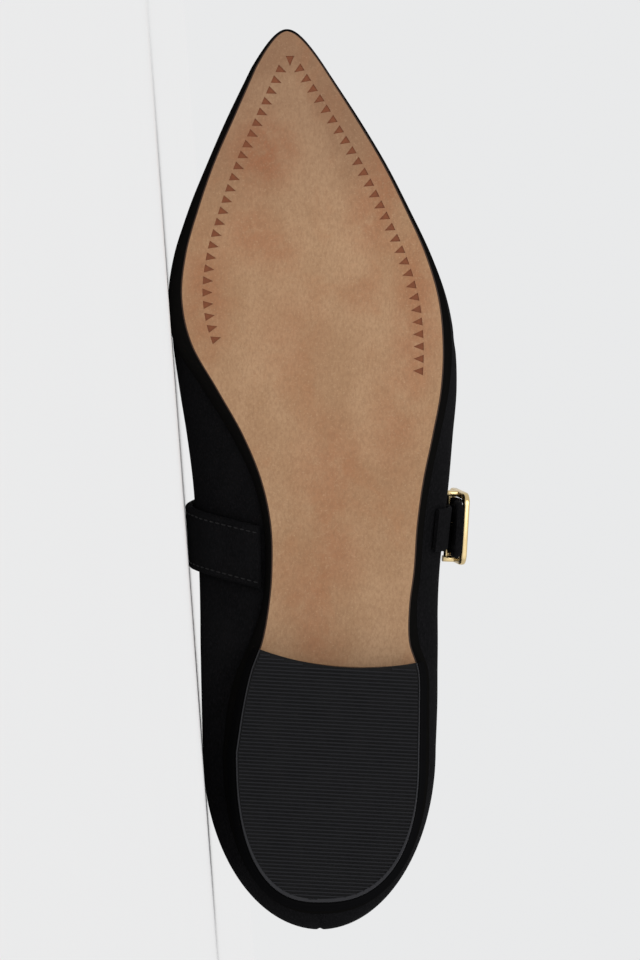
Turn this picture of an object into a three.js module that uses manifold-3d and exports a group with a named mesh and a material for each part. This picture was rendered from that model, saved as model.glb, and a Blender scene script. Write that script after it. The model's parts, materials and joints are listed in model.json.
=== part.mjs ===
// Mary jane flat, a left shoe, lying on its inner side as it rests on a floor. Millimetres.
// The shoe is worked out upright, in its own frame: +Y from the heel to the toe, +Z up, +X to the
// inner side of the foot, with the ground at z = 0. The last step turns it over onto the side that
// it rests on and sets its origin under the middle of its box.
import * as THREE from 'three';
import { ConvexHull } from 'three/addons/math/ConvexHull.js';
import { mergeVertices } from 'three/addons/utils/BufferGeometryUtils.js';
import Module from 'manifold-3d';

const wasm = await Module();
wasm.setup();

// Driving sizes
const LENGTH = 268;            // back of the heel to the tip of the toe, EU 38
const BALL_WIDTH = 82.8;       // across the upper at the ball of the foot
const INSTEP = 59;             // from the insole's level to the instep, halfway along
const HEEL_HEIGHT = 13;        // ground to the underside of the outsole at the seat
const OUTSOLE = 3;             // thickness of the outsole
const TOE_SPRING = 8;          // ground to the underside of the outsole at the tip
const UPPER_WALL = 1.8;        // suede and lining together
const INSOLE = 2.6;            // board and sock together
const INSOLE_GAP = 1.8;        // clearance round the insole, seen from above
const TOP_PIECE = 2.8;         // rubber wearing piece of the heel
const TOP_PIECE_STEP = 0.9;    // the heel block stands out this far round its top piece
const HEEL_FLARE = 1.9;        // and widens this much more up to the seat
const FEATHER_INSET = 1;       // the upper meets the outsole this far inside the outsole's edge
const STRAP = 2.2;             // thickness of the strap
const SEAM = 0.3;              // clearance between pieces that are glued or lie on each other

// Where the outsole lies on the ground and where it leaves it, as shares of LENGTH
const SEAT_END = 0.325;
const TREAD_START = 0.64;
const TREAD_END = 0.73;

// The rounded ends: the sections run from HEEL_AT to TOE_AT, and a fan closes the loop beyond each
const HEEL_AT = 0.2;
const TOE_AT = 0.956;
const HEEL_Y = HEEL_AT * LENGTH;
const TOE_Y = TOE_AT * LENGTH;
const HEEL_MIDDLE = 45.6;      // the heel's outline grows about this place
const BREAST = { inner: 84, outer: 80, hollow: 75.5 };   // the heel's front, from the back
const TIP_X = 9.8;             // the toe points to the inner side
const NOSE = 28;               // larger values make the tip of the toe blunter
const BULGE_SHARE = 0.2;       // share of the girth from the feather line to the widest point
const CROWN_LEAN = 1.1;        // how square the section is at its crown

// at: share of LENGTH. tread, edge and upper: how far the underside, the outsole's edge and the
// upper stand out from the centre line, as shares of BALL_WIDTH, on the inner and the outer side.
// crown: place of the crown, as a share of BALL_WIDTH. height and bulge: the crown's height and
// the widest points' heights above the feather line, as shares of INSTEP. lean: how far the
// walls lean in above the widest point.
const SECTIONS = table(
  'at     treadIn treadOut edgeIn edgeOut upperIn upperOut crown height bulgeIn bulgeOut lean',
  [0.200, 0.300, 0.354, 0.348, 0.392, 0.422, 0.417, 0.000, 1.270, 0.078, 0.120, 1.40],
  [0.250, 0.275, 0.356, 0.330, 0.393, 0.426, 0.423, 0.003, 1.250, 0.082, 0.125, 1.50],
  [0.290, 0.246, 0.353, 0.296, 0.388, 0.429, 0.424, 0.006, 1.220, 0.100, 0.140, 1.60],
  [0.320, 0.210, 0.324, 0.252, 0.356, 0.431, 0.425, 0.010, 1.200, 0.135, 0.150, 1.70],
  [0.360, 0.186, 0.324, 0.210, 0.348, 0.433, 0.425, 0.015, 1.170, 0.220, 0.165, 1.75],
  [0.400, 0.175, 0.340, 0.196, 0.362, 0.437, 0.431, 0.020, 1.140, 0.270, 0.170, 1.75],
  [0.450, 0.179, 0.351, 0.203, 0.373, 0.447, 0.447, 0.028, 1.080, 0.300, 0.180, 1.70],
  [0.500, 0.213, 0.373, 0.242, 0.396, 0.459, 0.464, 0.036, 1.000, 0.290, 0.170, 1.60],
  [0.550, 0.279, 0.406, 0.319, 0.430, 0.479, 0.477, 0.043, 0.910, 0.245, 0.155, 1.40],
  [0.600, 0.370, 0.435, 0.418, 0.461, 0.504, 0.490, 0.050, 0.810, 0.190, 0.140, 1.25],
  [0.650, 0.461, 0.442, 0.519, 0.471, 0.526, 0.484, 0.060, 0.730, 0.135, 0.125, 1.15],
  [0.700, 0.496, 0.426, 0.542, 0.448, 0.537, 0.455, 0.070, 0.640, 0.110, 0.115, 1.10],
  [0.750, 0.481, 0.378, 0.520, 0.394, 0.519, 0.397, 0.083, 0.570, 0.100, 0.105, 1.05],
  [0.800, 0.436, 0.306, 0.466, 0.316, 0.470, 0.320, 0.096, 0.475, 0.100, 0.100, 1.05],
  [0.850, 0.380, 0.225, 0.402, 0.234, 0.405, 0.237, 0.105, 0.385, 0.100, 0.100, 1.00],
  [0.900, 0.310, 0.129, 0.331, 0.138, 0.335, 0.140, 0.111, 0.290, 0.100, 0.100, 1.05],
  [0.956, 0.231, 0.014, 0.244, 0.019, 0.248, 0.022, 0.113, 0.185, 0.070, 0.070, 1.30],
);

// The loops that go round the shoe: back and tip are the places of their two ends, and power
// makes the back squarer. inset moves a loop in from its columns.
const LOOPS = {
  tread: { column: 'tread', back: 9.2, tip: LENGTH - 1, power: 2.5, inset: 0 },
  edge: { column: 'edge', back: 5, tip: LENGTH - 0.2, power: 2.3, inset: 0 },
  feather: { column: 'edge', back: 6, tip: LENGTH - 1.2, power: 2.3, inset: FEATHER_INSET },
  upper: { column: 'upper', back: 0, tip: LENGTH, power: 2, inset: 0 },
};

// The collar and the throat, seen flattened: across is the share of the way from the crown out
// to the feather line. The back's share goes round the heel's fan.
const COLLAR_BACK = 0.46;
const COLLAR = table(
  'at     inner  outer',
  [0.200, 0.475, 0.480],
  [0.280, 0.515, 0.525],
  [0.360, 0.560, 0.575],
  [0.440, 0.595, 0.610],
  [0.510, 0.575, 0.580],
  [0.560, 0.490, 0.490],
  [0.600, 0.335, 0.335],
  [0.622, 0.170, 0.170],
);
const THROAT_AT = 0.63;
const COLLAR_DRIFT = 0.4;      // how far the lines down the wall fan out toward the toe

// The strap's way over the last, from the sole's edge on the inner side (girth -1) over the crown
// (0) toward the outer side. lift is the clearance under it.
const STRAP_WAY = table(
  'girth  along   width  lift',
  [-0.990, 0.415, 19.0, 0.4],
  [-0.900, 0.428, 19.0, 0.5],
  [-0.800, 0.437, 19.0, 0.6],
  [-0.600, 0.445, 19.0, 0.8],
  [-0.300, 0.453, 18.6, 1.4],
  [0.000, 0.457, 18.2, 1.4],
  [0.240, 0.456, 17.6, 1.6],
  [0.400, 0.454, 17.0, 2.0],
);

// The buckle lies on the outer wall. Its own frame: a down the strap, b along the shoe, n out
// from the wall.
const BUCKLE = {
  girth: 0.69,
  along: 0.449,
  slant: 0.12,                 // radians that the strap turns toward the heel as it comes down
  strapWidth: 17,
  rail: 2.1,                   // width of the frame's rails
  thick: 1.9,
  length: 18.4,                // along the strap
  corner: 3.2,
  floor: 5,                    // underside of the frame above the wall
  bar: 0.8,                    // radius of the centre bar
  barHeight: 2.9,
  post: 3,                     // length of the posts that carry the bar
  prong: 0.8,                  // radius of the prong
  eyeWidth: 2.4,               // the prong's eye along the bar
  eyeWall: 0.9,
};
// The prong's way from its eye through the strap's hole to its rest on the frame
const PRONG_WAY = table(
  'down   out',
  [-0.4, 4.4],
  [-1.1, 6.9],
  [-2.7, 9.3],
  [-8.2, 8.4],
  [-10.4, 7.7],
);
const HOLE = { down: -1.1, radius: 1.8, from: 2, to: 12 };
const TAIL = { length: 15, rise: -0.12 };   // the strap's free end below the centre bar
// The tab's slant is turned into a shift along the shoe by the wall's length per unit of girth
const TAB = { width: 13, thick: 1.8, foot: 0.93, slot: 3.4, slotLength: 9, eye: 2.6, perGirth: 40 };

// Finish, density in kg/m3 and triangles
const FINISH = {
  suede: { color: 0x111012, roughness: 0.95, metalness: 0, density: 900 },
  sole: { color: 0xa88868, roughness: 0.55, metalness: 0, density: 900 },
  heel: { color: 0x1b1b1d, roughness: 0.6, metalness: 0, density: 600 },
  rubber: { color: 0x222224, roughness: 0.7, metalness: 0, density: 1200 },
  sock: { color: 0xb08d6a, roughness: 0.7, metalness: 0, density: 300 },
  gold: { color: 0xd9b36a, roughness: 0.25, metalness: 1, density: 8500 },
};
const AROUND = 44;             // columns of the upper on each side
const TOE_CROWDING = 0.13;     // how much closer the columns stand toward the toe
const UP_THE_WALL = 12;        // rows of the upper
const ROW_CROWDING = 1.5;      // above 1 the rows stand closer toward the sole
const SOLE_STATIONS = 15;      // sole sections in each third of the loop
const HEEL_STATIONS = 14;      // corners round each side of the heel
const STRAP_STATIONS = 60;
const ROUND = 12;              // facets round a rod
const SAMPLES = 240;           // points along a curve that is worked out anew

function table(heading, ...rows) {
  const names = heading.split(/\s+/);
  return rows.map((row) => Object.fromEntries(names.map((name, i) => [name, row[i]])));
}

// A smooth curve through a table's column, level or steady at both ends
function read(rows, key, column, at) {
  let i = 0;
  while (i < rows.length - 2 && at > rows[i + 1][key]) i += 1;
  const [a, b] = [rows[i], rows[i + 1]];
  const before = rows[Math.max(i - 1, 0)];
  const after = rows[Math.min(i + 2, rows.length - 1)];
  const span = b[key] - a[key];
  const u = THREE.MathUtils.clamp((at - a[key]) / span, 0, 1);
  const slopeA = (b[column] - before[column]) / (b[key] - before[key]) * span;
  const slopeB = (after[column] - a[column]) / (after[key] - a[key]) * span;
  return a[column] * (2 * u ** 3 - 3 * u ** 2 + 1) + slopeA * (u ** 3 - 2 * u ** 2 + u)
    + b[column] * (3 * u ** 2 - 2 * u ** 3) + slopeB * (u ** 3 - u ** 2);
}

function section(column, y) {
  return read(SECTIONS, 'at', column, THREE.MathUtils.clamp(y / LENGTH, HEEL_AT, TOE_AT));
}

const spineX = (y) => section('crown', y) * BALL_WIDTH;
const mix = THREE.MathUtils.lerp;

// Underside of the outsole: flat under the seat, down through the arch, flat at the ball and up
// to the toe
function underside(y) {
  const at = y / LENGTH;
  if (at < TREAD_START) {
    return HEEL_HEIGHT * (1 - THREE.MathUtils.smoothstep(at, SEAT_END, TREAD_START));
  }
  return TOE_SPRING * (Math.max(0, at - TREAD_END) / (1 - TREAD_END)) ** 2;
}
const topside = (y) => underside(y) + OUTSOLE;

// A place on a loop: side is 1 on the inner and -1 on the outer side. turn runs 0 to 1 round the
// heel, 1 to 2 along the side and 2 to 3 round the toe.
function onLoop(name, side, turn) {
  const loop = LOOPS[name];
  const column = loop.column + (side > 0 ? 'In' : 'Out');
  const reach = (y) => section(column, y) * BALL_WIDTH - loop.inset - side * spineX(y);
  if (turn <= 1) {
    const angle = turn * Math.PI / 2;
    const out = reach(HEEL_Y) * Math.sin(angle) ** (2 / loop.power);
    const y = HEEL_Y - (HEEL_Y - loop.back) * Math.cos(angle) ** (2 / loop.power);
    return new THREE.Vector2(spineX(HEEL_Y) + side * out, y);
  }
  if (turn <= 2) {
    const y = mix(HEEL_Y, TOE_Y, turn - 1);
    return new THREE.Vector2(spineX(y) + side * reach(y), y);
  }
  const depth = loop.tip - TOE_Y;
  const left = depth * (1 - Math.sin((turn - 2) * Math.PI / 2));
  const share = Math.sqrt(left * (left + NOSE) / (depth * (depth + NOSE)));
  const middle = mix(spineX(TOE_Y), TIP_X, 1 - left / depth);
  return new THREE.Vector2(middle + side * reach(TOE_Y) * share, loop.tip - left);
}

function spineY(turn) {
  return mix(HEEL_Y, TOE_Y, THREE.MathUtils.clamp(turn - 1, 0, 1));
}
const turnAt = (y) => 1 + (y - HEEL_Y) / (TOE_Y - HEEL_Y);

// How far round the heel's or the toe's fan: 0 along the sides, 1 at the two ends of the shoe
function roundTheEnd(turn) {
  const past = turn < 1 ? 1 - turn : Math.max(0, turn - 2);
  return Math.sin(past * Math.PI / 2) ** 2;
}

// The last's surface: up is 0 at the feather line and 1 at the crown
function onLast(side, turn, up) {
  const feather = onLoop('feather', side, turn);
  const wide = onLoop('upper', side, turn);
  const y = spineY(turn);
  const own = section(side > 0 ? 'bulgeIn' : 'bulgeOut', y);
  const both = (section('bulgeIn', y) + section('bulgeOut', y)) / 2;
  const low = topside(feather.y) + SEAM;
  const middle = low + mix(own, both, roundTheEnd(turn)) * INSTEP;
  if (up <= BULGE_SHARE) {
    const part = up / BULGE_SHARE;
    const plan = feather.clone().lerp(wide, Math.sin(part * Math.PI / 2));
    return new THREE.Vector3(plan.x, plan.y, mix(low, middle, part));
  }
  const angle = (up - BULGE_SHARE) / (1 - BULGE_SHARE) * Math.PI / 2;
  const lean = mix(section('lean', y), CROWN_LEAN, THREE.MathUtils.smoothstep(angle, 0, Math.PI / 2));
  const high = topside(y) + SEAM + section('height', y) * INSTEP;
  const plan = new THREE.Vector2(spineX(y), y).lerp(wide, Math.cos(angle) ** lean);
  return new THREE.Vector3(plan.x, plan.y, mix(middle, high, Math.sin(angle)));
}

// The last flattened: a plan place as a share of the way out from the crown line to the upper's loop
function unflatten(x, y) {
  const nearY = THREE.MathUtils.clamp(y, HEEL_Y, TOE_Y);
  const side = x >= spineX(nearY) ? 1 : -1;
  if (y === nearY) {
    const turn = turnAt(y);
    const full = onLoop('upper', side, turn).x - spineX(y);
    return { side, turn, out: Math.abs(x - spineX(y)) / Math.abs(full) };
  }
  const centre = new THREE.Vector2(spineX(nearY), nearY);
  const ray = new THREE.Vector2(x, y).sub(centre);
  let [low, high] = y < HEEL_Y ? [0, 1] : [2, 3];
  for (let i = 0; i < 40; i += 1) {
    const turn = (low + high) / 2;
    const cross = ray.cross(onLoop('upper', side, turn).sub(centre)) * side;
    if (cross > 0) high = turn; else low = turn;
  }
  const turn = (low + high) / 2;
  return { side, turn, out: ray.length() / onLoop('upper', side, turn).sub(centre).length() };
}

function onFlat(flat) {
  const { side, turn, out } = unflatten(flat.x, flat.y);
  return onLast(side, turn, 1 - Math.min(out, 1));
}

// Half loops in the flattened plan, from the back to the toe or the throat
function outerHalf(side) {
  const points = Array.from({ length: SAMPLES + 1 }, (_, i) => (
    onLoop('upper', side, 3 * i / SAMPLES)
  ));
  return new THREE.SplineCurve(points);
}

function collarHalf(side) {
  const centre = new THREE.Vector2(spineX(HEEL_Y), HEEL_Y);
  const first = COLLAR[0][side > 0 ? 'inner' : 'outer'];
  const points = [0, 0.3, 0.65].map((turn) => {
    const share = mix(COLLAR_BACK, first, turn ** 2);
    return centre.clone().lerp(onLoop('upper', side, turn), share);
  });
  for (const row of COLLAR) {
    const y = row.at * LENGTH;
    const share = row[side > 0 ? 'inner' : 'outer'];
    points.push(new THREE.Vector2(spineX(y), y).lerp(onLoop('upper', side, turnAt(y)), share));
  }
  const throatY = THROAT_AT * LENGTH;
  points.push(new THREE.Vector2(spineX(throatY), throatY));
  const mirror = (p, axis) => new THREE.Vector2(2 * axis.x - p.x, p.y);
  points.unshift(mirror(points[1], points[0]));
  points.push(mirror(points[points.length - 2], points[points.length - 1]));
  return trimmed(new THREE.SplineCurve(points), 1, 1);
}

// A curve without its first and last spans
function trimmed(curve, head, tail) {
  const spans = curve.points.length - 1;
  const points = Array.from({ length: SAMPLES + 1 }, (_, i) => (
    curve.getPoint(mix(head / spans, 1 - tail / spans, i / SAMPLES))
  ));
  return new THREE.SplineCurve(points);
}

function meshOf(points, faces) {
  const places = points.flatMap((p) => p.toArray());
  const geometry = new THREE.BufferGeometry();
  geometry.setAttribute('position', new THREE.Float32BufferAttribute(places, 3));
  geometry.setIndex(faces);
  return tidy(geometry);
}

// Merged corners, no collapsed faces, and faces that point out
function tidy(geometry) {
  let bare = geometry.clone();
  for (const name of Object.keys(bare.attributes)) {
    if (name !== 'position') bare.deleteAttribute(name);
  }
  bare = mergeVertices(bare, 1e-3);
  const index = [...bare.index.array];
  const kept = [];
  for (let i = 0; i < index.length; i += 3) {
    const [a, b, c] = index.slice(i, i + 3);
    if (a !== b && b !== c && c !== a) kept.push(a, b, c);
  }
  bare.setIndex(kept);
  if (volume(bare).size < 0) {
    for (let i = 0; i < kept.length; i += 3) [kept[i], kept[i + 1]] = [kept[i + 1], kept[i]];
    bare.setIndex(kept);
  }
  return bare;
}

function volume(geometry) {
  const place = geometry.attributes.position;
  const centre = new THREE.Vector3();
  let size = 0;
  const corner = (i) => new THREE.Vector3().fromBufferAttribute(place, geometry.index.getX(i));
  for (let i = 0; i < geometry.index.count; i += 3) {
    const [a, b, c] = [corner(i), corner(i + 1), corner(i + 2)];
    const part = a.dot(b.clone().cross(c)) / 6;
    size += part;
    centre.addScaledVector(a.add(b).add(c), part / 4);
  }
  return { size, centre: centre.divideScalar(size) };
}

// Rows of corners joined in turn. closed rows meet their own start, and flat caps close the ends.
function loft(rows, { caps = true } = {}) {
  const count = rows[0].length;
  const faces = [];
  for (let i = 0; i < rows.length - 1; i += 1) {
    for (let j = 0; j < count; j += 1) {
      const k = (j + 1) % count;
      const [a, b, c, d] = [i * count + j, i * count + k, (i + 1) * count + k, (i + 1) * count + j];
      faces.push(a, b, c, a, c, d);
    }
  }
  if (caps) {
    const last = (rows.length - 1) * count;
    for (const [a, b, c] of flatCap(rows[0])) {
      faces.push(a, c, b, last + a, last + b, last + c);
    }
  }
  return meshOf(rows.flat(), faces);
}

function flatCap(row) {
  const centre = row.reduce((sum, p) => sum.add(p), new THREE.Vector3()).divideScalar(row.length);
  const normal = new THREE.Vector3();
  row.forEach((p, i) => {
    const next = row[(i + 1) % row.length];
    normal.add(p.clone().sub(centre).cross(next.clone().sub(centre)));
  });
  normal.normalize();
  const across = row[1].clone().sub(row[0]).projectOnPlane(normal).normalize();
  const up = normal.clone().cross(across);
  const plan = row.map((p) => new THREE.Vector2(p.dot(across), p.dot(up)));
  return THREE.ShapeUtils.triangulateShape(plan, []);
}

function solid(geometry) {
  const bare = tidy(geometry);
  return new wasm.Manifold(new wasm.Mesh({
    numProp: 3,
    vertProperties: new Float32Array(bare.attributes.position.array),
    triVerts: new Uint32Array(bare.index.array),
  }));
}

function geometryOf(manifold) {
  const mesh = manifold.getMesh();
  const geometry = new THREE.BufferGeometry();
  geometry.setAttribute('position', new THREE.BufferAttribute(new Float32Array(mesh.vertProperties), 3));
  geometry.setIndex([...mesh.triVerts]);
  return tidy(geometry);
}

// Upper: an outer skin from the feather line to the collar and an inner skin one wall inside it
function upper() {
  const halves = [1, -1].map((side) => ({ outer: outerHalf(side), collar: collarHalf(side) }));
  const columns = [];
  for (const [which, half] of halves.entries()) {
    for (let i = 0; i < AROUND; i += 1) {
      const even = which === 0 ? i / AROUND : 1 - i / AROUND;
      const along = even + TOE_CROWDING * (even - even ** 6);
      const onCollar = along + COLLAR_DRIFT * along * (1 - along);
      columns.push([half.outer.getPointAt(along), half.collar.getPointAt(onCollar)]);
    }
  }
  const step = 0.2;
  const outside = columns.map(([foot, rim]) => Array.from({ length: UP_THE_WALL + 1 }, (_, row) => {
    const flat = foot.clone().lerp(rim, (row / UP_THE_WALL) ** ROW_CROWDING);
    return { flat, point: onFlat(flat) };
  }));
  const inside = outside.map((column, i) => column.map(({ flat, point }, row) => {
    if (row === 0) return innerFeather(columns[i][0]);
    const inward = columns[i][1].clone().sub(columns[i][0]).normalize();
    const around = new THREE.Vector2(-inward.y, inward.x);
    const ahead = (v, sign) => onFlat(flat.clone().addScaledVector(v, sign * step));
    const slopeIn = ahead(inward, 1).sub(ahead(inward, -1));
    const slopeAround = ahead(around, 1).sub(ahead(around, -1));
    const normal = slopeIn.cross(slopeAround).normalize();
    return point.clone().addScaledVector(normal, -UPPER_WALL);
  }));
  const rows = UP_THE_WALL + 1;
  const ring = outside.map((column, i) => [
    ...column.map(({ point }) => point),
    ...inside[i].slice().reverse(),
  ]);
  const faces = [];
  const size = 2 * rows;
  ring.forEach((column, i) => {
    const next = (i + 1) % ring.length;
    for (let j = 0; j < size; j += 1) {
      const k = (j + 1) % size;
      const [a, b, c, d] = [i * size + j, next * size + j, next * size + k, i * size + k];
      faces.push(a, b, c, a, c, d);
    }
  });
  return meshOf(ring.flat(), faces);
}

// Where the wall's inner skin meets the outsole: level with the feather line
function innerFeather(flat) {
  const { side, turn } = unflatten(flat.x, flat.y);
  return insideFeather(side, turn, 0);
}

function insideFeather(side, turn, more) {
  const foot = onLast(side, turn, 0);
  const above = onLast(side, turn, 0.02);
  const spine = new THREE.Vector3(spineX(spineY(turn)), spineY(turn), foot.z);
  const slope = new THREE.Vector3().subVectors(above, foot);
  const steep = slope.z / slope.length();
  const inward = spine.sub(foot).normalize();
  return foot.addScaledVector(inward, UPPER_WALL / Math.max(steep, 0.45) + more);
}

function loopTurns() {
  return Array.from({ length: 3 * SOLE_STATIONS + 1 }, (_, i) => i / SOLE_STATIONS);
}

// Outsole: sections across the shoe, with an edge bevelled in to the tread
function outsole() {
  const bevel = { out: 0.72, up: 0.42 };
  const rows = loopTurns().map((turn) => {
    const corner = (side, out, up) => {
      const plan = onLoop('tread', side, turn).lerp(onLoop('edge', side, turn), out);
      return new THREE.Vector3(plan.x, plan.y, underside(plan.y) + OUTSOLE * up);
    };
    return [
      corner(-1, 0, 0), corner(1, 0, 0), corner(1, bevel.out, bevel.up), corner(1, 1, 1),
      corner(-1, 1, 1), corner(-1, bevel.out, bevel.up),
    ];
  });
  return loft(rows, { caps: false });
}

// Insole: board and sock, just inside the upper
function insole() {
  const rows = loopTurns().map((turn) => {
    const corner = (side, up) => {
      const place = insideFeather(side, turn, INSOLE_GAP);
      place.z = topside(place.y) + SEAM + INSOLE * up;
      return place;
    };
    return [corner(-1, 0), corner(1, 0), corner(1, 1), corner(-1, 1)];
  });
  return loft(rows, { caps: false });
}

// Heel: the seat's outline with a front hollowed toward the back. It grows about its middle, to
// the sides and the back alone, so its front stands upright.
function heelOutline(grow) {
  const turns = (corner) => [
    ...Array.from({ length: HEEL_STATIONS }, (_, i) => i / HEEL_STATIONS),
    1,
    mix(1, turnAt(corner), 0.5),
    turnAt(corner),
  ];
  const inner = turns(BREAST.inner).map((turn) => onLoop('tread', 1, turn));
  const outer = turns(BREAST.outer).map((turn) => onLoop('tread', -1, turn));
  const from = inner[inner.length - 1];
  const to = outer[outer.length - 1];
  const bend = new THREE.Vector2((from.x + to.x) / 2, BREAST.hollow);
  const breast = new THREE.QuadraticBezierCurve(from, bend, to).getPoints(10).slice(1, -1);
  const points = [...inner, ...breast, ...outer.slice(1).reverse()];
  const middle = new THREE.Vector2((from.x + to.x) / 2, HEEL_MIDDLE);
  const scale = 1 + grow / middle.distanceTo(inner[HEEL_STATIONS]);
  return points.map((p) => {
    const grown = p.clone().sub(middle).multiplyScalar(scale).add(middle);
    grown.y = Math.min(grown.y, Math.max(p.y, HEEL_MIDDLE));
    return grown;
  });
}

function heelPrism(levels) {
  return loft(levels.map(({ z, grow }) => heelOutline(grow).map((p) => new THREE.Vector3(p.x, p.y, z))));
}

function heelTopPiece() {
  return heelPrism([{ z: 0, grow: 0 }, { z: TOP_PIECE, grow: 0 }]);
}

function heelBlock() {
  const base = TOP_PIECE + SEAM;
  const top = HEEL_HEIGHT - SEAM;
  return heelPrism([
    { z: base, grow: TOP_PIECE_STEP },
    { z: top, grow: TOP_PIECE_STEP + HEEL_FLARE },
  ]);
}

// A place over the last by girth, from -1 at the inner feather line to 1 at the outer one
function overLast(girth, y) {
  const side = girth < 0 ? 1 : -1;
  return onLast(side, turnAt(y), 1 - Math.abs(girth));
}

function overLastNormal(girth, y) {
  const [dGirth, dY] = [0.004, 0.5];
  const across = overLast(girth + dGirth, y).sub(overLast(girth - dGirth, y));
  const along = overLast(girth, y + dY).sub(overLast(girth, y - dY));
  return along.cross(across).normalize();
}

// The buckle's own frame as a matrix: columns a, b, n and the place on the wall
function buckleFrame() {
  const y = BUCKLE.along * LENGTH;
  const origin = overLast(BUCKLE.girth, y);
  const out = overLastNormal(BUCKLE.girth, y);
  const down = overLast(BUCKLE.girth + 0.01, y).sub(origin).projectOnPlane(out).normalize();
  const heelward = new THREE.Vector3(0, -1, 0);
  const turned = Math.sign(down.clone().cross(heelward).dot(out)) * BUCKLE.slant;
  down.applyAxisAngle(out, turned);
  const along = new THREE.Vector3().crossVectors(out, down);
  return new THREE.Matrix4().makeBasis(down, along, out).setPosition(origin);
}

// How far the strap's middle stands off the wall: under both ends of the frame and over the bar
function strapStandOff(a) {
  const low = BUCKLE.floor - 1.3 * SEAM - STRAP / 2;
  const high = BUCKLE.barHeight + TAB.eye + SEAM + STRAP / 2;
  const half = BUCKLE.length / 2 - BUCKLE.rail;
  if (Math.abs(a) < half) return mix(low, high, (Math.cos(Math.PI * a / half) + 1) / 2);
  return a > 0 ? low + TAIL.rise * (a - half) : low;
}

// The strap's two edges, as curves from the inner sole edge to the tail
function strapEdges(matrix) {
  const girths = [-0.99, -0.94, -0.88, -0.8, -0.7, -0.58, -0.44, -0.3, -0.15, 0, 0.15, 0.28, 0.4];
  const downs = [-13, -10, -7, -3.5, 0, 3.5, 7, 10.5, TAIL.length];
  return [-1, 1].map((edge) => {
    const points = girths.map((girth) => {
      const way = (column) => read(STRAP_WAY, 'girth', column, girth);
      const y = way('along') * LENGTH + edge * way('width') / 2;
      return overLast(girth, y).addScaledVector(overLastNormal(girth, y), way('lift') + STRAP / 2);
    });
    for (const a of downs) {
      const local = new THREE.Vector3(a, -edge * BUCKLE.strapWidth / 2, strapStandOff(a));
      points.push(local.applyMatrix4(matrix));
    }
    return new THREE.CatmullRomCurve3(points, false, 'centripetal');
  });
}

// A band between two edge curves, with its thickness half to each side
function band(edges, thick, stations) {
  const rows = Array.from({ length: stations + 1 }, (_, i) => {
    const at = i / stations;
    const [heelward, toeward] = edges.map((curve) => curve.getPoint(at));
    const tangent = edges[0].getTangent(at).add(edges[1].getTangent(at)).normalize();
    const normal = tangent.cross(toeward.clone().sub(heelward)).normalize().multiplyScalar(thick / 2);
    return [
      heelward.clone().add(normal), toeward.clone().add(normal),
      toeward.clone().sub(normal), heelward.clone().sub(normal),
    ];
  });
  return loft(rows);
}

function rod(radius, from, to) {
  const geometry = new THREE.CylinderGeometry(radius, radius, from.distanceTo(to), ROUND);
  const turn = new THREE.Quaternion().setFromUnitVectors(
    new THREE.Vector3(0, 1, 0),
    to.clone().sub(from).normalize(),
  );
  geometry.applyQuaternion(turn);
  geometry.translate(...from.clone().add(to).divideScalar(2).toArray());
  return geometry;
}

function strap(matrix) {
  const ends = [HOLE.from, HOLE.to].map((out) => new THREE.Vector3(HOLE.down, 0, out));
  const hole = rod(HOLE.radius, ...ends).applyMatrix4(matrix);
  return geometryOf(solid(band(strapEdges(matrix), STRAP, STRAP_STATIONS)).subtract(solid(hole)));
}

// A rounded rectangle in the a-b plane
function frameOutline(length, width, corner, Kind) {
  const [x, y] = [length / 2, width / 2];
  const shape = new Kind();
  shape.moveTo(x - corner, -y);
  shape.absarc(x - corner, -y + corner, corner, -Math.PI / 2, 0);
  shape.absarc(x - corner, y - corner, corner, 0, Math.PI / 2);
  shape.absarc(-x + corner, y - corner, corner, Math.PI / 2, Math.PI);
  shape.absarc(-x + corner, -y + corner, corner, Math.PI, 1.5 * Math.PI);
  shape.closePath();
  return shape;
}

function frameWidth() {
  return BUCKLE.strapWidth + 2 * (SEAM + BUCKLE.rail);
}

function extrude(shape, depth, curveSegments) {
  return new THREE.ExtrudeGeometry(shape, { depth, bevelEnabled: false, curveSegments });
}

// A rod or a ring that turns about the centre bar, as long as width across the strap
function barRod(radius, width) {
  const ends = [-1, 1].map((side) => new THREE.Vector3(0, side * width / 2, BUCKLE.barHeight));
  return rod(radius, ...ends);
}

function buckle(matrix) {
  const { length, rail, corner, thick, floor, bar, barHeight } = BUCKLE;
  const width = frameWidth();
  const ring = frameOutline(length, width, corner, THREE.Shape);
  const opening = [length - 2 * rail, width - 2 * rail, corner - rail / 2];
  ring.holes.push(frameOutline(...opening, THREE.Path));
  const plate = extrude(ring, thick, 5).translate(0, 0, floor);
  let whole = solid(plate).add(solid(barRod(bar, width - rail)));
  const [low, high] = [barHeight - 1.25 * bar, floor + thick / 4];
  for (const side of [-1, 1]) {
    const post = new THREE.BoxGeometry(BUCKLE.post, rail - SEAM, high - low);
    post.translate(0, side * (width - rail) / 2, (high + low) / 2);
    whole = whole.add(solid(post));
  }
  return geometryOf(whole).applyMatrix4(matrix);
}

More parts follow.
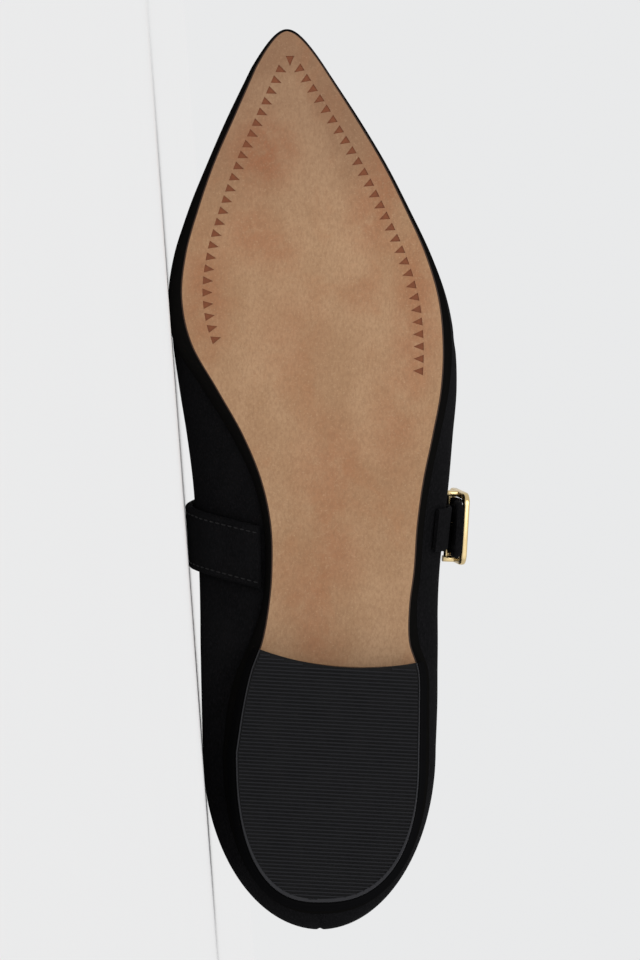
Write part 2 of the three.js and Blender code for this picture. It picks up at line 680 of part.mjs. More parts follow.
function prong(matrix) {
  const { bar, barHeight, eyeWidth, eyeWall } = BUCKLE;
  const ring = new THREE.Shape();
  ring.absarc(0, 0, bar + SEAM + eyeWall, 0, 2 * Math.PI);
  ring.holes.push(new THREE.Path().absarc(0, 0, bar + SEAM, 0, 2 * Math.PI));
  const eye = extrude(ring, eyeWidth, 8).translate(0, 0, -eyeWidth / 2);
  eye.rotateX(Math.PI / 2).translate(0, 0, barHeight);
  const stops = PRONG_WAY.map(({ down, out }) => new THREE.Vector3(down, 0, out));
  const extrudePath = new THREE.CatmullRomCurve3(stops, false, 'centripetal');
  const round = new THREE.Shape().absarc(0, 0, BUCKLE.prong, 0, 2 * Math.PI);
  const how = { extrudePath, steps: 14, curveSegments: 5, bevelEnabled: false };
  const pin = new THREE.ExtrudeGeometry(round, how);
  return geometryOf(solid(eye).add(solid(pin))).applyMatrix4(matrix);
}

// Tab: lies on the outer wall below the buckle and ends in an eye round the centre bar
function tab(matrix) {
  const girths = [TAB.foot, 0.88, 0.83, 0.78, 0.74, 0.705];
  const edges = [-1, 1].map((edge) => new THREE.CatmullRomCurve3(girths.map((girth) => {
    const shift = TAB.perGirth * (girth - BUCKLE.girth) * Math.tan(BUCKLE.slant);
    const y = BUCKLE.along * LENGTH + edge * TAB.width / 2 - shift;
    return overLast(girth, y).addScaledVector(overLastNormal(girth, y), SEAM + TAB.thick / 2);
  }), false, 'centripetal'));
  const leaf = band(edges, TAB.thick, 12).applyMatrix4(matrix.clone().invert());
  const bore = barRod(BUCKLE.bar + SEAM, 2 * TAB.width);
  const slot = new THREE.BoxGeometry(TAB.slotLength, TAB.slot, 4 * TAB.eye);
  slot.translate(0, 0, BUCKLE.barHeight);
  const folded = solid(leaf).add(solid(barRod(TAB.eye - SEAM / 3, TAB.width)));
  return geometryOf(folded.subtract(solid(bore)).subtract(solid(slot))).applyMatrix4(matrix);
}

// Upright shoe, piece by piece
const shoe = new THREE.Group();
function piece(name, finish, geometry) {
  const { density, ...look } = FINISH[finish];
  const mesh = new THREE.Mesh(geometry, new THREE.MeshStandardMaterial(look));
  mesh.name = name;
  mesh.userData.density = density;
  shoe.add(mesh);
}

const onWall = buckleFrame();
piece('outsole', 'sole', outsole());
piece('heel_block', 'heel', heelBlock());
piece('heel_top_piece', 'rubber', heelTopPiece());
piece('insole', 'sock', insole());
piece('upper', 'suede', upper());
piece('strap', 'suede', strap(onWall));
piece('buckle_tab', 'suede', tab(onWall));
piece('buckle_frame', 'gold', buckle(onWall));
piece('buckle_prong', 'gold', prong(onWall));

// Lying on its inner side: the face of the shoe's hull that its weight stands on. The hull's
// faces that look to the inner side are tried, and the one under the centre of mass is taken.
function restingFace() {
  const corners = [];
  const centre = new THREE.Vector3();
  let mass = 0;
  for (const mesh of shoe.children) {
    const place = mesh.geometry.attributes.position;
    for (let i = 0; i < place.count; i += 1) {
      corners.push(new THREE.Vector3().fromBufferAttribute(place, i));
    }
    const own = volume(mesh.geometry);
    centre.addScaledVector(own.centre, own.size * mesh.userData.density);
    mass += own.size * mesh.userData.density;
  }
  centre.divideScalar(mass);
  const hull = new ConvexHull().setFromPoints(corners);
  const under = hull.faces.filter((face) => {
    if (face.normal.x < 0.8) return false;
    let edge = face.edge;
    do {
      const [from, to] = [edge.tail().point, edge.head().point];
      const inward = face.normal.clone().cross(to.clone().sub(from));
      if (inward.dot(centre.clone().sub(from)) < 0) return false;
      edge = edge.next;
    } while (edge !== face.edge);
    return true;
  });
  under.sort((a, b) => b.normal.x - a.normal.x);
  return under[0].normal.clone();
}

const rest = restingFace();
const up = rest.clone().negate();
const toeward = new THREE.Vector3(0, 1, 0).projectOnPlane(up).normalize();
const sideways = new THREE.Vector3().crossVectors(toeward, up);
shoe.quaternion.setFromRotationMatrix(
  new THREE.Matrix4().makeBasis(sideways, toeward, up).transpose(),
);
shoe.updateMatrixWorld(true);
const box = new THREE.Box3().setFromObject(shoe, true);
shoe.position.set(-(box.min.x + box.max.x) / 2, -(box.min.y + box.max.y) / 2, -box.min.z);
shoe.updateMatrixWorld(true);

export default shoe;
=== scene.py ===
import json
import math

import bmesh
import bpy
import numpy as np
from mathutils import Matrix, Vector

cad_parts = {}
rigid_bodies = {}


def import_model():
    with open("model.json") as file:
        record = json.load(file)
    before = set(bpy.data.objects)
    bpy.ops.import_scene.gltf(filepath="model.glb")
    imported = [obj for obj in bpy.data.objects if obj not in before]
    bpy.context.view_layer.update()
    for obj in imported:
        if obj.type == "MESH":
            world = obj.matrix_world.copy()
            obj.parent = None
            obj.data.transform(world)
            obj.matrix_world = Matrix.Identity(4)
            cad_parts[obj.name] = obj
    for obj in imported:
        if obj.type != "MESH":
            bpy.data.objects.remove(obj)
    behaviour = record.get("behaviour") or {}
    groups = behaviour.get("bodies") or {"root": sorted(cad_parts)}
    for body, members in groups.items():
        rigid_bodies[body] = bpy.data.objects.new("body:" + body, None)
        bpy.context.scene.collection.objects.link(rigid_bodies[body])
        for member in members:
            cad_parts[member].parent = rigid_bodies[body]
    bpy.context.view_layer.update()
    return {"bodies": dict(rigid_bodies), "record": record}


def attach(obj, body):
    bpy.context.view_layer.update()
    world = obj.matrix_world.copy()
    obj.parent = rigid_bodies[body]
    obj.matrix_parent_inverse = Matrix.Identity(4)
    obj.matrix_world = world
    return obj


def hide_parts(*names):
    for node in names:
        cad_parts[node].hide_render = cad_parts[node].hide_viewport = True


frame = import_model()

BODY = next(iter(frame["bodies"]))

# A left mary jane flat. Its pieces are worked out upright in the shoe's own frame, in millimetres:
# +Y from the heel to the toe, +Z up, +X to the inner side of the foot, with the ground at z = 0.
# Then they are laid on the inner side, where the CAD nodes lie.
MM = 0.001

# The driving sizes of the CAD
LENGTH = 268
BALL_WIDTH = 82.8
INSTEP = 59
HEEL_HEIGHT = 13
OUTSOLE = 3
TOE_SPRING = 8
UPPER_WALL = 1.8
INSOLE = 2.6
INSOLE_GAP = 1.8
TOP_PIECE = 2.8
TOP_PIECE_STEP = 0.9
HEEL_FLARE = 1.9
FEATHER_INSET = 1
STRAP = 2.2
SEAM = 0.3
SEAT_END = 0.325
TREAD_START = 0.64
TREAD_END = 0.73
HEEL_Y = 0.2 * LENGTH
TOE_Y = 0.956 * LENGTH
HEEL_MIDDLE = 45.6
BREAST = {"inner": 84, "outer": 80, "hollow": 75.5}
TIP_X = 9.8
NOSE = 28
BULGE_SHARE = 0.2
CROWN_LEAN = 1.1
COLLAR_BACK = 0.46
THROAT_AT = 0.63
COLLAR_DRIFT = 0.4


def table(heading, *rows):
    """Columns by name."""
    names = heading.split()
    return {name: np.array([row[i] for row in rows], float) for i, name in enumerate(names)}


# Shares of LENGTH, BALL_WIDTH and INSTEP, as in the CAD
SECTIONS = table(
    "at     treadIn treadOut edgeIn edgeOut upperIn upperOut crown height bulgeIn bulgeOut lean",
    (0.200, 0.300, 0.354, 0.348, 0.392, 0.422, 0.417, 0.000, 1.270, 0.078, 0.120, 1.40),
    (0.250, 0.275, 0.356, 0.330, 0.393, 0.426, 0.423, 0.003, 1.250, 0.082, 0.125, 1.50),
    (0.290, 0.246, 0.353, 0.296, 0.388, 0.429, 0.424, 0.006, 1.220, 0.100, 0.140, 1.60),
    (0.320, 0.210, 0.324, 0.252, 0.356, 0.431, 0.425, 0.010, 1.200, 0.135, 0.150, 1.70),
    (0.360, 0.186, 0.324, 0.210, 0.348, 0.433, 0.425, 0.015, 1.170, 0.220, 0.165, 1.75),
    (0.400, 0.175, 0.340, 0.196, 0.362, 0.437, 0.431, 0.020, 1.140, 0.270, 0.170, 1.75),
    (0.450, 0.179, 0.351, 0.203, 0.373, 0.447, 0.447, 0.028, 1.080, 0.300, 0.180, 1.70),
    (0.500, 0.213, 0.373, 0.242, 0.396, 0.459, 0.464, 0.036, 1.000, 0.290, 0.170, 1.60),
    (0.550, 0.279, 0.406, 0.319, 0.430, 0.479, 0.477, 0.043, 0.910, 0.245, 0.155, 1.40),
    (0.600, 0.370, 0.435, 0.418, 0.461, 0.504, 0.490, 0.050, 0.810, 0.190, 0.140, 1.25),
    (0.650, 0.461, 0.442, 0.519, 0.471, 0.526, 0.484, 0.060, 0.730, 0.135, 0.125, 1.15),
    (0.700, 0.496, 0.426, 0.542, 0.448, 0.537, 0.455, 0.070, 0.640, 0.110, 0.115, 1.10),
    (0.750, 0.481, 0.378, 0.520, 0.394, 0.519, 0.397, 0.083, 0.570, 0.100, 0.105, 1.05),
    (0.800, 0.436, 0.306, 0.466, 0.316, 0.470, 0.320, 0.096, 0.475, 0.100, 0.100, 1.05),
    (0.850, 0.380, 0.225, 0.402, 0.234, 0.405, 0.237, 0.105, 0.385, 0.100, 0.100, 1.00),
    (0.900, 0.310, 0.129, 0.331, 0.138, 0.335, 0.140, 0.111, 0.290, 0.100, 0.100, 1.05),
    (0.956, 0.231, 0.014, 0.244, 0.019, 0.248, 0.022, 0.113, 0.185, 0.070, 0.070, 1.30),
)
LOOPS = {
    "tread": {"column": "tread", "back": 9.2, "tip": LENGTH - 1, "power": 2.5, "inset": 0},
    "edge": {"column": "edge", "back": 5, "tip": LENGTH - 0.2, "power": 2.3, "inset": 0},
    "feather": {"column": "edge", "back": 6, "tip": LENGTH - 1.2, "power": 2.3,
                "inset": FEATHER_INSET},
    "upper": {"column": "upper", "back": 0, "tip": LENGTH, "power": 2, "inset": 0},
}
COLLAR = table(
    "at     inner  outer",
    (0.200, 0.475, 0.480),
    (0.280, 0.515, 0.525),
    (0.360, 0.560, 0.575),
    (0.440, 0.595, 0.610),
    (0.510, 0.575, 0.580),
    (0.560, 0.490, 0.490),
    (0.600, 0.335, 0.335),
    (0.622, 0.170, 0.170),
)
STRAP_WAY = table(
    "girth  along   width  lift",
    (-0.990, 0.415, 19.0, 0.4),
    (-0.900, 0.428, 19.0, 0.5),
    (-0.800, 0.437, 19.0, 0.6),
    (-0.600, 0.445, 19.0, 0.8),
    (-0.300, 0.453, 18.6, 1.4),
    (0.000, 0.457, 18.2, 1.4),
    (0.240, 0.456, 17.6, 1.6),
    (0.400, 0.454, 17.0, 2.0),
)
BUCKLE = {
    "girth": 0.69, "along": 0.449, "slant": 0.12, "strapWidth": 17, "rail": 2.1, "thick": 1.9,
    "length": 18.4, "corner": 3.2, "floor": 5, "bar": 0.8, "barHeight": 2.9, "post": 3,
    "prong": 0.8, "eyeWidth": 2.4, "eyeWall": 0.9,
}
PRONG_WAY = [(-0.4, 4.4), (-1.1, 6.9), (-2.7, 9.3), (-8.2, 8.4), (-10.4, 7.7)]
TAIL = {"length": 15, "rise": -0.12}
TREAD_PLACES = {"heel": (-2.0, 45.0), "ball": (3.0, 182.0)}   # as in the record
TAB = {"width": 13, "thick": 1.8, "foot": 0.93, "slot": 3.4, "eye": 2.6, "perGirth": 40}

# What only this scene adds
WALL_SHARES = 220              # columns of the upper on each side
WALL_ROWS = 64
COLUMN_CROWDING = 0.13         # columns lie closer toward the tip
ROW_CROWDING = 1.35            # and rows toward the sole
OUTLINE_PLACES = 1500          # on each side's foot and collar, before columns are chosen
ROLL = {"steps": 8, "start": 0.15, "end": 0.85, "sink": 0.4}   # round the collar's edge
TURNED_IN = 5                  # rows of suede inside the collar
PROBE = 0.2                    # step that a wall's slope is measured over
SOLE_STATIONS = 130            # in each third of the loop
SOLE_ACROSS = {"below": 23, "above": 9, "spread": 0.98}   # places across its two faces
INK_LINE = 0.4                 # width of the dark line at the edge of the tan sole
SOCK_SPREAD = 0.5              # the sock's soft edge reaches this much nearer to the lining
STRAP_DROP = 1.1               # the soft strap sinks this far into the buckle's opening
BEVEL = {"steps": 8, "power": 0.75}   # the sole's rounded edge
SOCK = {"rim": 1.1, "curl": 6, "across": 17, "below": 9}   # a rim's width, and places across
SOCK_HEIGHTS = {"wall": 0.62, "cup": 0.1}   # shares of INSOLE
WEDGE = {"length": 3.0, "width": 2.45, "depth": 0.25, "below": 2}
WEDGE_ROWS = [                 # side, in from the edge, first and last place along, how many
    (1, 7.9, 255.3, 175.7, 25),
    (-1, 7.5, 255.5, 166.2, 28),
]
APEX_WEDGE = (8.9, 258.1)
WEDGE_PLACES = 400             # along a row, before the wedges are spaced
SLANT_SHARE = 0.4              # how far a row of wedges follows the edge's slant
HEEL_STATIONS = {"back": 50, "side": 12, "front": 26, "rings": 12}   # round it, and up it
HEEL_FLARE_POWER = 1.2
HEEL_ROUNDING = 0.35           # of the block's lower edge
RIB = {"pitch": 1.08, "width": 0.66, "height": 0.5, "tilt": 3.0, "inset": 0.75, "shortest": 1.5}
# Across a rib in widths, and up from the ground in heights
RIB_PROFILE = [(-0.5, 1.1), (-0.34, 0.165), (-0.2, 0), (0.2, 0), (0.34, 0.165), (0.5, 1.1)]
LIP = {"side": 0.45, "back": 1.1, "root": 0.6, "narrows": (9, 46)}   # widths, height, places
STITCH = {"pitch": 2.1, "length": 1.55, "width": 0.42, "height": 0.3, "arch": 0.16, "sunk": 0.75}
STITCH_RINGS = 7
STITCH_SIDES = 8
STITCH_INSET = 2.0
TOPLINE = {"below": 1.9, "lift": 0.02}   # the row of stitches at the collar's edge
STRAP_STATIONS = 300
STRAP_GROOVE = 0.22
STRAP_END = {"length": 6.0, "power": 2.4, "bare": 12}   # bare: stations without stitches
BAND_CORNER = 1.0              # radius of a band's edges
# Places across a band, in from its edge
BAND_DEPTHS = np.array([0, 0.06, 0.2, 0.45, 0.8, 1.1, 1.4, 1.7, 2.0, 2.3, 2.6, 3.2, 4.4, 6.4])
TAB_FOLD = 1.3                 # thickness of the folded leather
TAB_GROOVE = 0.12
TAB_SLOT = {"long": 4.5, "high": 5, "at": -0.6}   # half sizes, and its middle down the strap
TAB_STATIONS = 90
TAB_WRAP = (0.12, 1.55, 8)     # round the bar: from and to in half turns, and places
# Corners round a section of the buckle, and how round it is each way from 0 to 1
SECTION = {"rail": (20, 0.45, 0.55), "lug": (20, 0.5, 0.5), "eye": (12, 0.6, 0.6)}
LUG = {"rings": 7, "foot": 0.62, "below": 1.25}   # foot: its share of the full length
EYE_RINGS = 32
PRONG_RINGS = 60
PRONG_TIP = {"share": 0.07, "thinner": 0.82}
FLOOR_RADII = (0.5, 3, 12)     # metres
STRAP_HOLES = [                # down from the buckle's bar, radius
    (-19.5, 0.95),
    (-13.2, 0.95),
    (-1.1, 1.3),
    (10.6, 0.95),
]
BACK_SEAM = {"depth": 0.45, "width": 0.5, "reach": 2.4, "fades": (40, 24)}
# Soft creases of the vamp: place along the shoe, bow, from and to across, depth and width
CREASES = [
    (183, 5, -30, 34, 0.42, 2.6),
    (191, 7, -22, 30, 0.30, 2.2),
    (176, 3, -38, -14, 0.35, 2.4),
    (179, 2, 20, 42, 0.38, 2.2),
    (150, -6, -44, -33, 0.30, 2.0),
]
# Warm patches of the sole: place across and along, radius, how much longer than wide, strength
BLOTCHES = [
    (17, 231, 16, 1.1, 1.00),
    (12, 202, 10, 1.2, 0.55),
    (-28, 172, 12, 1.5, 0.55),
    (-12, 190, 10, 1.1, 0.40),
    (-15, 212, 12, 1.6, 0.65),
    (21, 207, 12, 1.3, 0.60),
    (-19, 224, 11, 1.6, 0.60),
    (34, 190, 12, 2.4, 0.65),
    (-29, 190, 11, 2.6, 0.65),
    (-3, 138, 17, 1.5, 0.50),
    (-4, 112, 14, 1.3, 0.55),
    (4, 98, 12, 1.6, 0.45),
    (-1, 84, 11, 1.2, 0.40),
    (-22, 150, 12, 2.2, 0.50),
    (8, 176, 16, 1.3, 0.35),
]


def mix(a, b, share):
    return a + (b - a) * share


def smooth(value, low=0.0, high=1.0):
    share = np.clip((value - low) / (high - low), 0, 1)
    return share * share * (3 - 2 * share)


def unit(vectors):
    return vectors / np.linalg.norm(vectors, axis=-1, keepdims=True)


def read(rows, key, column, at):
    """A smooth curve through a table's column."""
    knots = rows[key]
    values = rows[column]
    last = len(knots) - 2
    i = np.clip(np.searchsorted(knots, at) - 1, 0, last)
    before = np.maximum(i - 1, 0)
    after = np.minimum(i + 2, last + 1)
    span = knots[i + 1] - knots[i]
    u = np.clip((at - knots[i]) / span, 0, 1)
    slope_a = (values[i + 1] - values[before]) / (knots[i + 1] - knots[before]) * span
    slope_b = (values[after] - values[i]) / (knots[after] - knots[i]) * span
    start = values[i] * (2 * u**3 - 3 * u**2 + 1) + slope_a * (u**3 - 2 * u**2 + u)
    end = values[i + 1] * (3 * u**2 - 2 * u**3) + slope_b * (u**3 - u**2)
    return start + end


def lengths(points):
    """How far along each point of a polyline lies, as a share of the whole."""
    steps = np.linalg.norm(np.diff(points, axis=0), axis=1)
    along = np.concatenate([[0], np.cumsum(steps)])
    return along / along[-1], along[-1]


def sampled(values, along, shares):
    """Rows of values, known at places along, read between them."""
    return np.stack([np.interp(shares, along, column) for column in values.T], -1)


def evenly(points, shares):
    """Places on a polyline at shares of its length."""
    return sampled(points, lengths(points)[0], shares)


def turns_round(count):
    """Angles evenly spaced round a circle."""
    return np.linspace(0, 2 * np.pi, count, endpoint=False)


def rounded_square(count, power_a, power_b):
    """Corners round a square with soft corners, from -1 to 1 each way."""
    angles = turns_round(count)
    a = np.cos(angles)
    b = np.sin(angles)
    return np.stack([np.sign(a) * np.abs(a) ** power_a, np.sign(b) * np.abs(b) ** power_b], -1)


def raised(plan, height):
    """Flat places lifted to a height, or to one each."""
    return np.concatenate([plan, np.broadcast_to(height, len(plan))[:, None]], -1)


def through(points, count, trim=0):
    """A smooth curve through points, as count places from the first to the last but trim."""
    points = np.asarray(points, float)
    knots, _ = lengths(points)
    shares = np.linspace(knots[trim], knots[-1 - trim], count)
    columns = [read({"at": knots, "value": column}, "at", "value", shares) for column in points.T]
    return np.stack(columns, -1)


def section(column, y):
    return read(SECTIONS, "at", column, np.clip(y / LENGTH, HEEL_Y / LENGTH, TOE_Y / LENGTH))


def spine_x(y):
    return section("crown", y) * BALL_WIDTH


def spine_y(turn):
    return mix(HEEL_Y, TOE_Y, np.clip(turn - 1, 0, 1))


def turn_at(y):
    return 1 + (y - HEEL_Y) / (TOE_Y - HEEL_Y)


def underside(y):
    at = np.asarray(y, float) / LENGTH
    arch = HEEL_HEIGHT * (1 - smooth(at, SEAT_END, TREAD_START))
    toe = TOE_SPRING * (np.maximum(0, at - TREAD_END) / (1 - TREAD_END)) ** 2
    return np.where(at < TREAD_START, arch, toe)


def topside(y):
    return underside(y) + OUTSOLE


def on_loop(name, side, turn):
    """A place on a loop round the shoe: turn runs 0-1 round the heel, 1-2 along the side and
    2-3 round the toe, and side is 1 on the inner and -1 on the outer side."""
    loop = LOOPS[name]
    side, turn = np.broadcast_arrays(np.asarray(side, float), np.asarray(turn, float))

    def reach(y):
        inner = section(loop["column"] + "In", y)
        outer = section(loop["column"] + "Out", y)
        return np.where(side > 0, inner, outer) * BALL_WIDTH - loop["inset"] - side * spine_x(y)

    power = 2 / loop["power"]
    angle = np.clip(turn, 0, 1) * np.pi / 2
    heel_x = spine_x(HEEL_Y) + side * reach(HEEL_Y) * np.sin(angle) ** power
    heel_y = HEEL_Y - (HEEL_Y - loop["back"]) * np.cos(angle) ** power
    side_y = spine_y(turn)
    side_x = spine_x(side_y) + side * reach(side_y)
    depth = loop["tip"] - TOE_Y
    left = depth * (1 - np.sin(np.clip(turn - 2, 0, 1) * np.pi / 2))
    share = np.sqrt(left * (left + NOSE) / (depth * (depth + NOSE)))
    toe_x = mix(spine_x(TOE_Y), TIP_X, 1 - left / depth) + side * reach(TOE_Y) * share
    toe_y = loop["tip"] - left
    x = np.where(turn <= 1, heel_x, np.where(turn <= 2, side_x, toe_x))
    y = np.where(turn <= 1, heel_y, np.where(turn <= 2, side_y, toe_y))
    return np.stack([x, y], -1)


def on_last(side, turn, up):
    """The last's surface: up is 0 at the feather line and 1 at the crown."""
    side, turn, up = np.broadcast_arrays(
        np.asarray(side, float), np.asarray(turn, float), np.asarray(up, float)
    )
    feather = on_loop("feather", side, turn)
    wide = on_loop("upper", side, turn)
    y = spine_y(turn)
    inner = section("bulgeIn", y)
    outer = section("bulgeOut", y)
    past = np.where(turn < 1, 1 - turn, np.maximum(0, turn - 2))
    end = np.sin(past * np.pi / 2) ** 2
    low = topside(feather[..., 1]) + SEAM
    bulge = mix(np.where(side > 0, inner, outer), (inner + outer) / 2, end)
    middle = low + bulge * INSTEP
    part = np.clip(up / BULGE_SHARE, 0, 1)
    below = mix(feather, wide, np.sin(part * np.pi / 2)[..., None])
    angle = np.clip((up - BULGE_SHARE) / (1 - BULGE_SHARE), 0, 1) * np.pi / 2
    lean = mix(section("lean", y), CROWN_LEAN, smooth(angle, 0, np.pi / 2))
    high = topside(y) + SEAM + section("height", y) * INSTEP
    spine = np.stack([spine_x(y), y], -1)
    above = mix(spine, wide, (np.maximum(np.cos(angle), 0) ** lean)[..., None])
    lower = up <= BULGE_SHARE
    plan = np.where(lower[..., None], below, above)
    z = np.where(lower, mix(low, middle, part), mix(middle, high, np.sin(angle)))
    return np.concatenate([plan, z[..., None]], -1)


def unflatten(flat):
    """Side, turn and share of the way out from the crown line of flattened places."""
    x = flat[..., 0]
    y = flat[..., 1]
    near = np.clip(y, HEEL_Y, TOE_Y)
    side = np.where(x >= spine_x(near), 1.0, -1.0)
    centre = np.stack([spine_x(near), near], -1)
    ray = flat - centre
    low = np.where(y < HEEL_Y, 0.0, 2.0)
    high = low + 1
    for _ in range(24):
        turn = (low + high) / 2
        edge = on_loop("upper", side, turn) - centre
        past = (ray[..., 0] * edge[..., 1] - ray[..., 1] * edge[..., 0]) * side > 0
        high = np.where(past, turn, high)
        low = np.where(past, low, turn)
    turn = np.where(y == near, turn_at(y), (low + high) / 2)
    edge = on_loop("upper", side, turn) - centre
    return side, turn, np.linalg.norm(ray, axis=-1) / np.linalg.norm(edge, axis=-1)


def on_flat(flat):
    side, turn, out = unflatten(flat)
    return on_last(side, turn, 1 - np.minimum(out, 1))


def inside_feather(side, turn, more):
    """Where the wall's inner skin meets the outsole, and more millimetres further in."""
    foot = on_last(side, turn, 0)
    slope = on_last(side, turn, 0.02) - foot
    steep = slope[..., 2] / np.linalg.norm(slope, axis=-1)
    y = spine_y(np.asarray(turn, float)) + 0 * foot[..., 0]
    spine = np.stack([spine_x(y), y, foot[..., 2]], -1)
    reach = UPPER_WALL / np.maximum(steep, 0.45) + more
    return foot + unit(spine - foot) * reach[..., None]


def over_last(girth, y):
    girth = np.asarray(girth, float)
    side = np.where(girth < 0, 1, -1)
    return on_last(side, turn_at(y), 1 - np.abs(girth))


def over_last_normal(girth, y):
    across = over_last(girth + 0.004, y) - over_last(girth - 0.004, y)
    along = over_last(girth, y + 0.5) - over_last(girth, y - 0.5)
    return unit(np.cross(along, across))


def off_last(girth, y, lift):
    return over_last(girth, y) + over_last_normal(girth, y) * lift


def worn_mount(name):
    """A mount of the record: its place and its axis."""
    mount = next(m for m in frame["record"]["mounts"] if m["name"] == name)
    return np.array(mount["pos_m"]), unit(np.array(mount["axis"]))


def shoe_matrix():
    """From the shoe's own frame to the row's, by the record's two treads and the heel seat's axis."""
    heel = np.array(TREAD_PLACES["heel"])
    ball = np.array(TREAD_PLACES["ball"])
    heel_place, _ = worn_mount("heel_tread")
    ball_place, _ = worn_mount("ball_tread")
    _, up = worn_mount("heel_seat")
    ahead = ball_place - heel_place
    ahead = unit(ahead - up * ahead.dot(up))
    aside = np.cross(up, ahead)
    dx, dy = unit(ball - heel)
    x_axis = dx * ahead - dy * aside
    y_axis = dy * ahead + dx * aside
    turn = np.stack([x_axis, y_axis, up], -1)
    place = heel_place - turn @ (np.array([*heel, 0]) * MM)
    matrix = Matrix.Identity(4)
    for row in range(3):
        matrix[row][:3] = turn[row]
        matrix[row][3] = place[row]
    return matrix


SHOE = shoe_matrix()


# Meshes

def placed(name, data):
    """An object of the scene from a mesh, a lamp or a lens."""
    piece = bpy.data.objects.new(name, data)
    bpy.context.scene.collection.objects.link(piece)
    return piece


def clean(mesh):
    """Doubled corners merged, slivers dissolved and the faces turned outward."""
    work = bmesh.new()
    work.from_mesh(mesh)
    bmesh.ops.remove_doubles(work, verts=work.verts, dist=2e-6)
    bmesh.ops.dissolve_degenerate(work, edges=work.edges, dist=1e-6)
    bmesh.ops.recalc_face_normals(work, faces=work.faces)
    work.to_mesh(mesh)
    work.free()


def finished(name, points, faces, materials, paint, sharp):
    """An object from places in millimetres, laid down with the shoe."""
    mesh = bpy.data.meshes.new(name)
    mesh.from_pydata((np.asarray(points) * MM).tolist(), [], faces)
    mesh.transform(SHOE)
    for made in materials:
        mesh.materials.append(made)
    mesh.polygons.foreach_set("material_index", np.asarray(paint, np.int32))
    clean(mesh)
    mesh.shade_smooth()
    mesh.set_sharp_from_angle(angle=math.radians(sharp))
    return placed(name, mesh)


def loft_faces(count, size, closed=False):
    """Quads between rings of corners, and flat caps where the rings don't close."""
    index = np.arange(count * size).reshape(count, size)
    ahead = np.roll(index, -1, axis=0) if closed else index[1:]
    here = index if closed else index[:-1]
    corners = [here, np.roll(here, -1, axis=1), np.roll(ahead, -1, axis=1), ahead]
    faces = np.stack(corners, -1).reshape(-1, 4).tolist()
    caps = [] if closed else [index[0][::-1].tolist(), index[-1].tolist()]
    return faces, caps


def loft(name, rings, materials, ring_paint=None, closed=False, sharp=60):
    """An object from rings of corners."""
    rings = np.asarray(rings)
    count, size = rings.shape[:2]
    faces, caps = loft_faces(count, size, closed)
    if ring_paint is None:
        ring_paint = np.zeros(size, int)
    stretches = count if closed else count - 1
    paint = np.concatenate([np.tile(ring_paint, stretches), np.zeros(len(caps), int)])
    return finished(name, rings.reshape(-1, 3), faces + caps, materials, paint, sharp)


def joined(name, parts, materials, sharp=50):
    """One object from several (points, faces, material index) parts."""
    points, faces, paint = [], [], []
    for part_points, part_faces, index in parts:
        start = sum(len(p) for p in points)
        points.append(np.asarray(part_points).reshape(-1, 3))
        faces += [[start + corner for corner in face] for face in part_faces]
        paint += [index] * len(part_faces)
    return finished(name, np.concatenate(points), faces, materials, paint, sharp)


def cut(piece, cutter, sharp=50, folded=False):
    """Takes the closed shapes of cutter out of piece. The cutter's material lines the cut."""
    modifier = piece.modifiers.new("cut", "BOOLEAN")
    modifier.operation = "DIFFERENCE"
    modifier.solver = "EXACT"
    modifier.use_self = folded
    modifier.material_mode = "TRANSFER"
    modifier.object = cutter
    graph = bpy.context.evaluated_depsgraph_get()
    cut_mesh = bpy.data.meshes.new_from_object(piece.evaluated_get(graph))
    piece.modifiers.clear()
    piece.data = cut_mesh
    piece.data.set_sharp_from_angle(angle=math.radians(sharp))
    bpy.data.objects.remove(cutter)


def dress(piece, slot, *nodes):
    """piece rides with the shoe and stands for CAD nodes, which it hides; slot is not used."""
    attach(piece, BODY)
    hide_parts(*nodes)
    return piece


def tube(path, radii, sides=16):
    """Rings of a rod along a path."""
    path = np.asarray(path, float)
    ahead = unit(np.gradient(path, axis=0))
    helper = np.tile([0.0, 1.0, 0.0], (len(path), 1))
    out = unit(np.cross(ahead, helper))
    other = np.cross(out, ahead)
    angles = turns_round(sides)[None, :, None]
    radii = np.broadcast_to(radii, len(path))[:, None, None]
    circle = np.cos(angles) * out[:, None] + np.sin(angles) * other[:, None]
    return path[:, None] + circle * radii


def part(rings, index=0, closed=False):
    """Rings of corners as a part for joined."""
    rings = np.asarray(rings)
    faces, caps = loft_faces(*rings.shape[:2], closed)
    return rings.reshape(-1, 3), faces + caps, index


# Materials

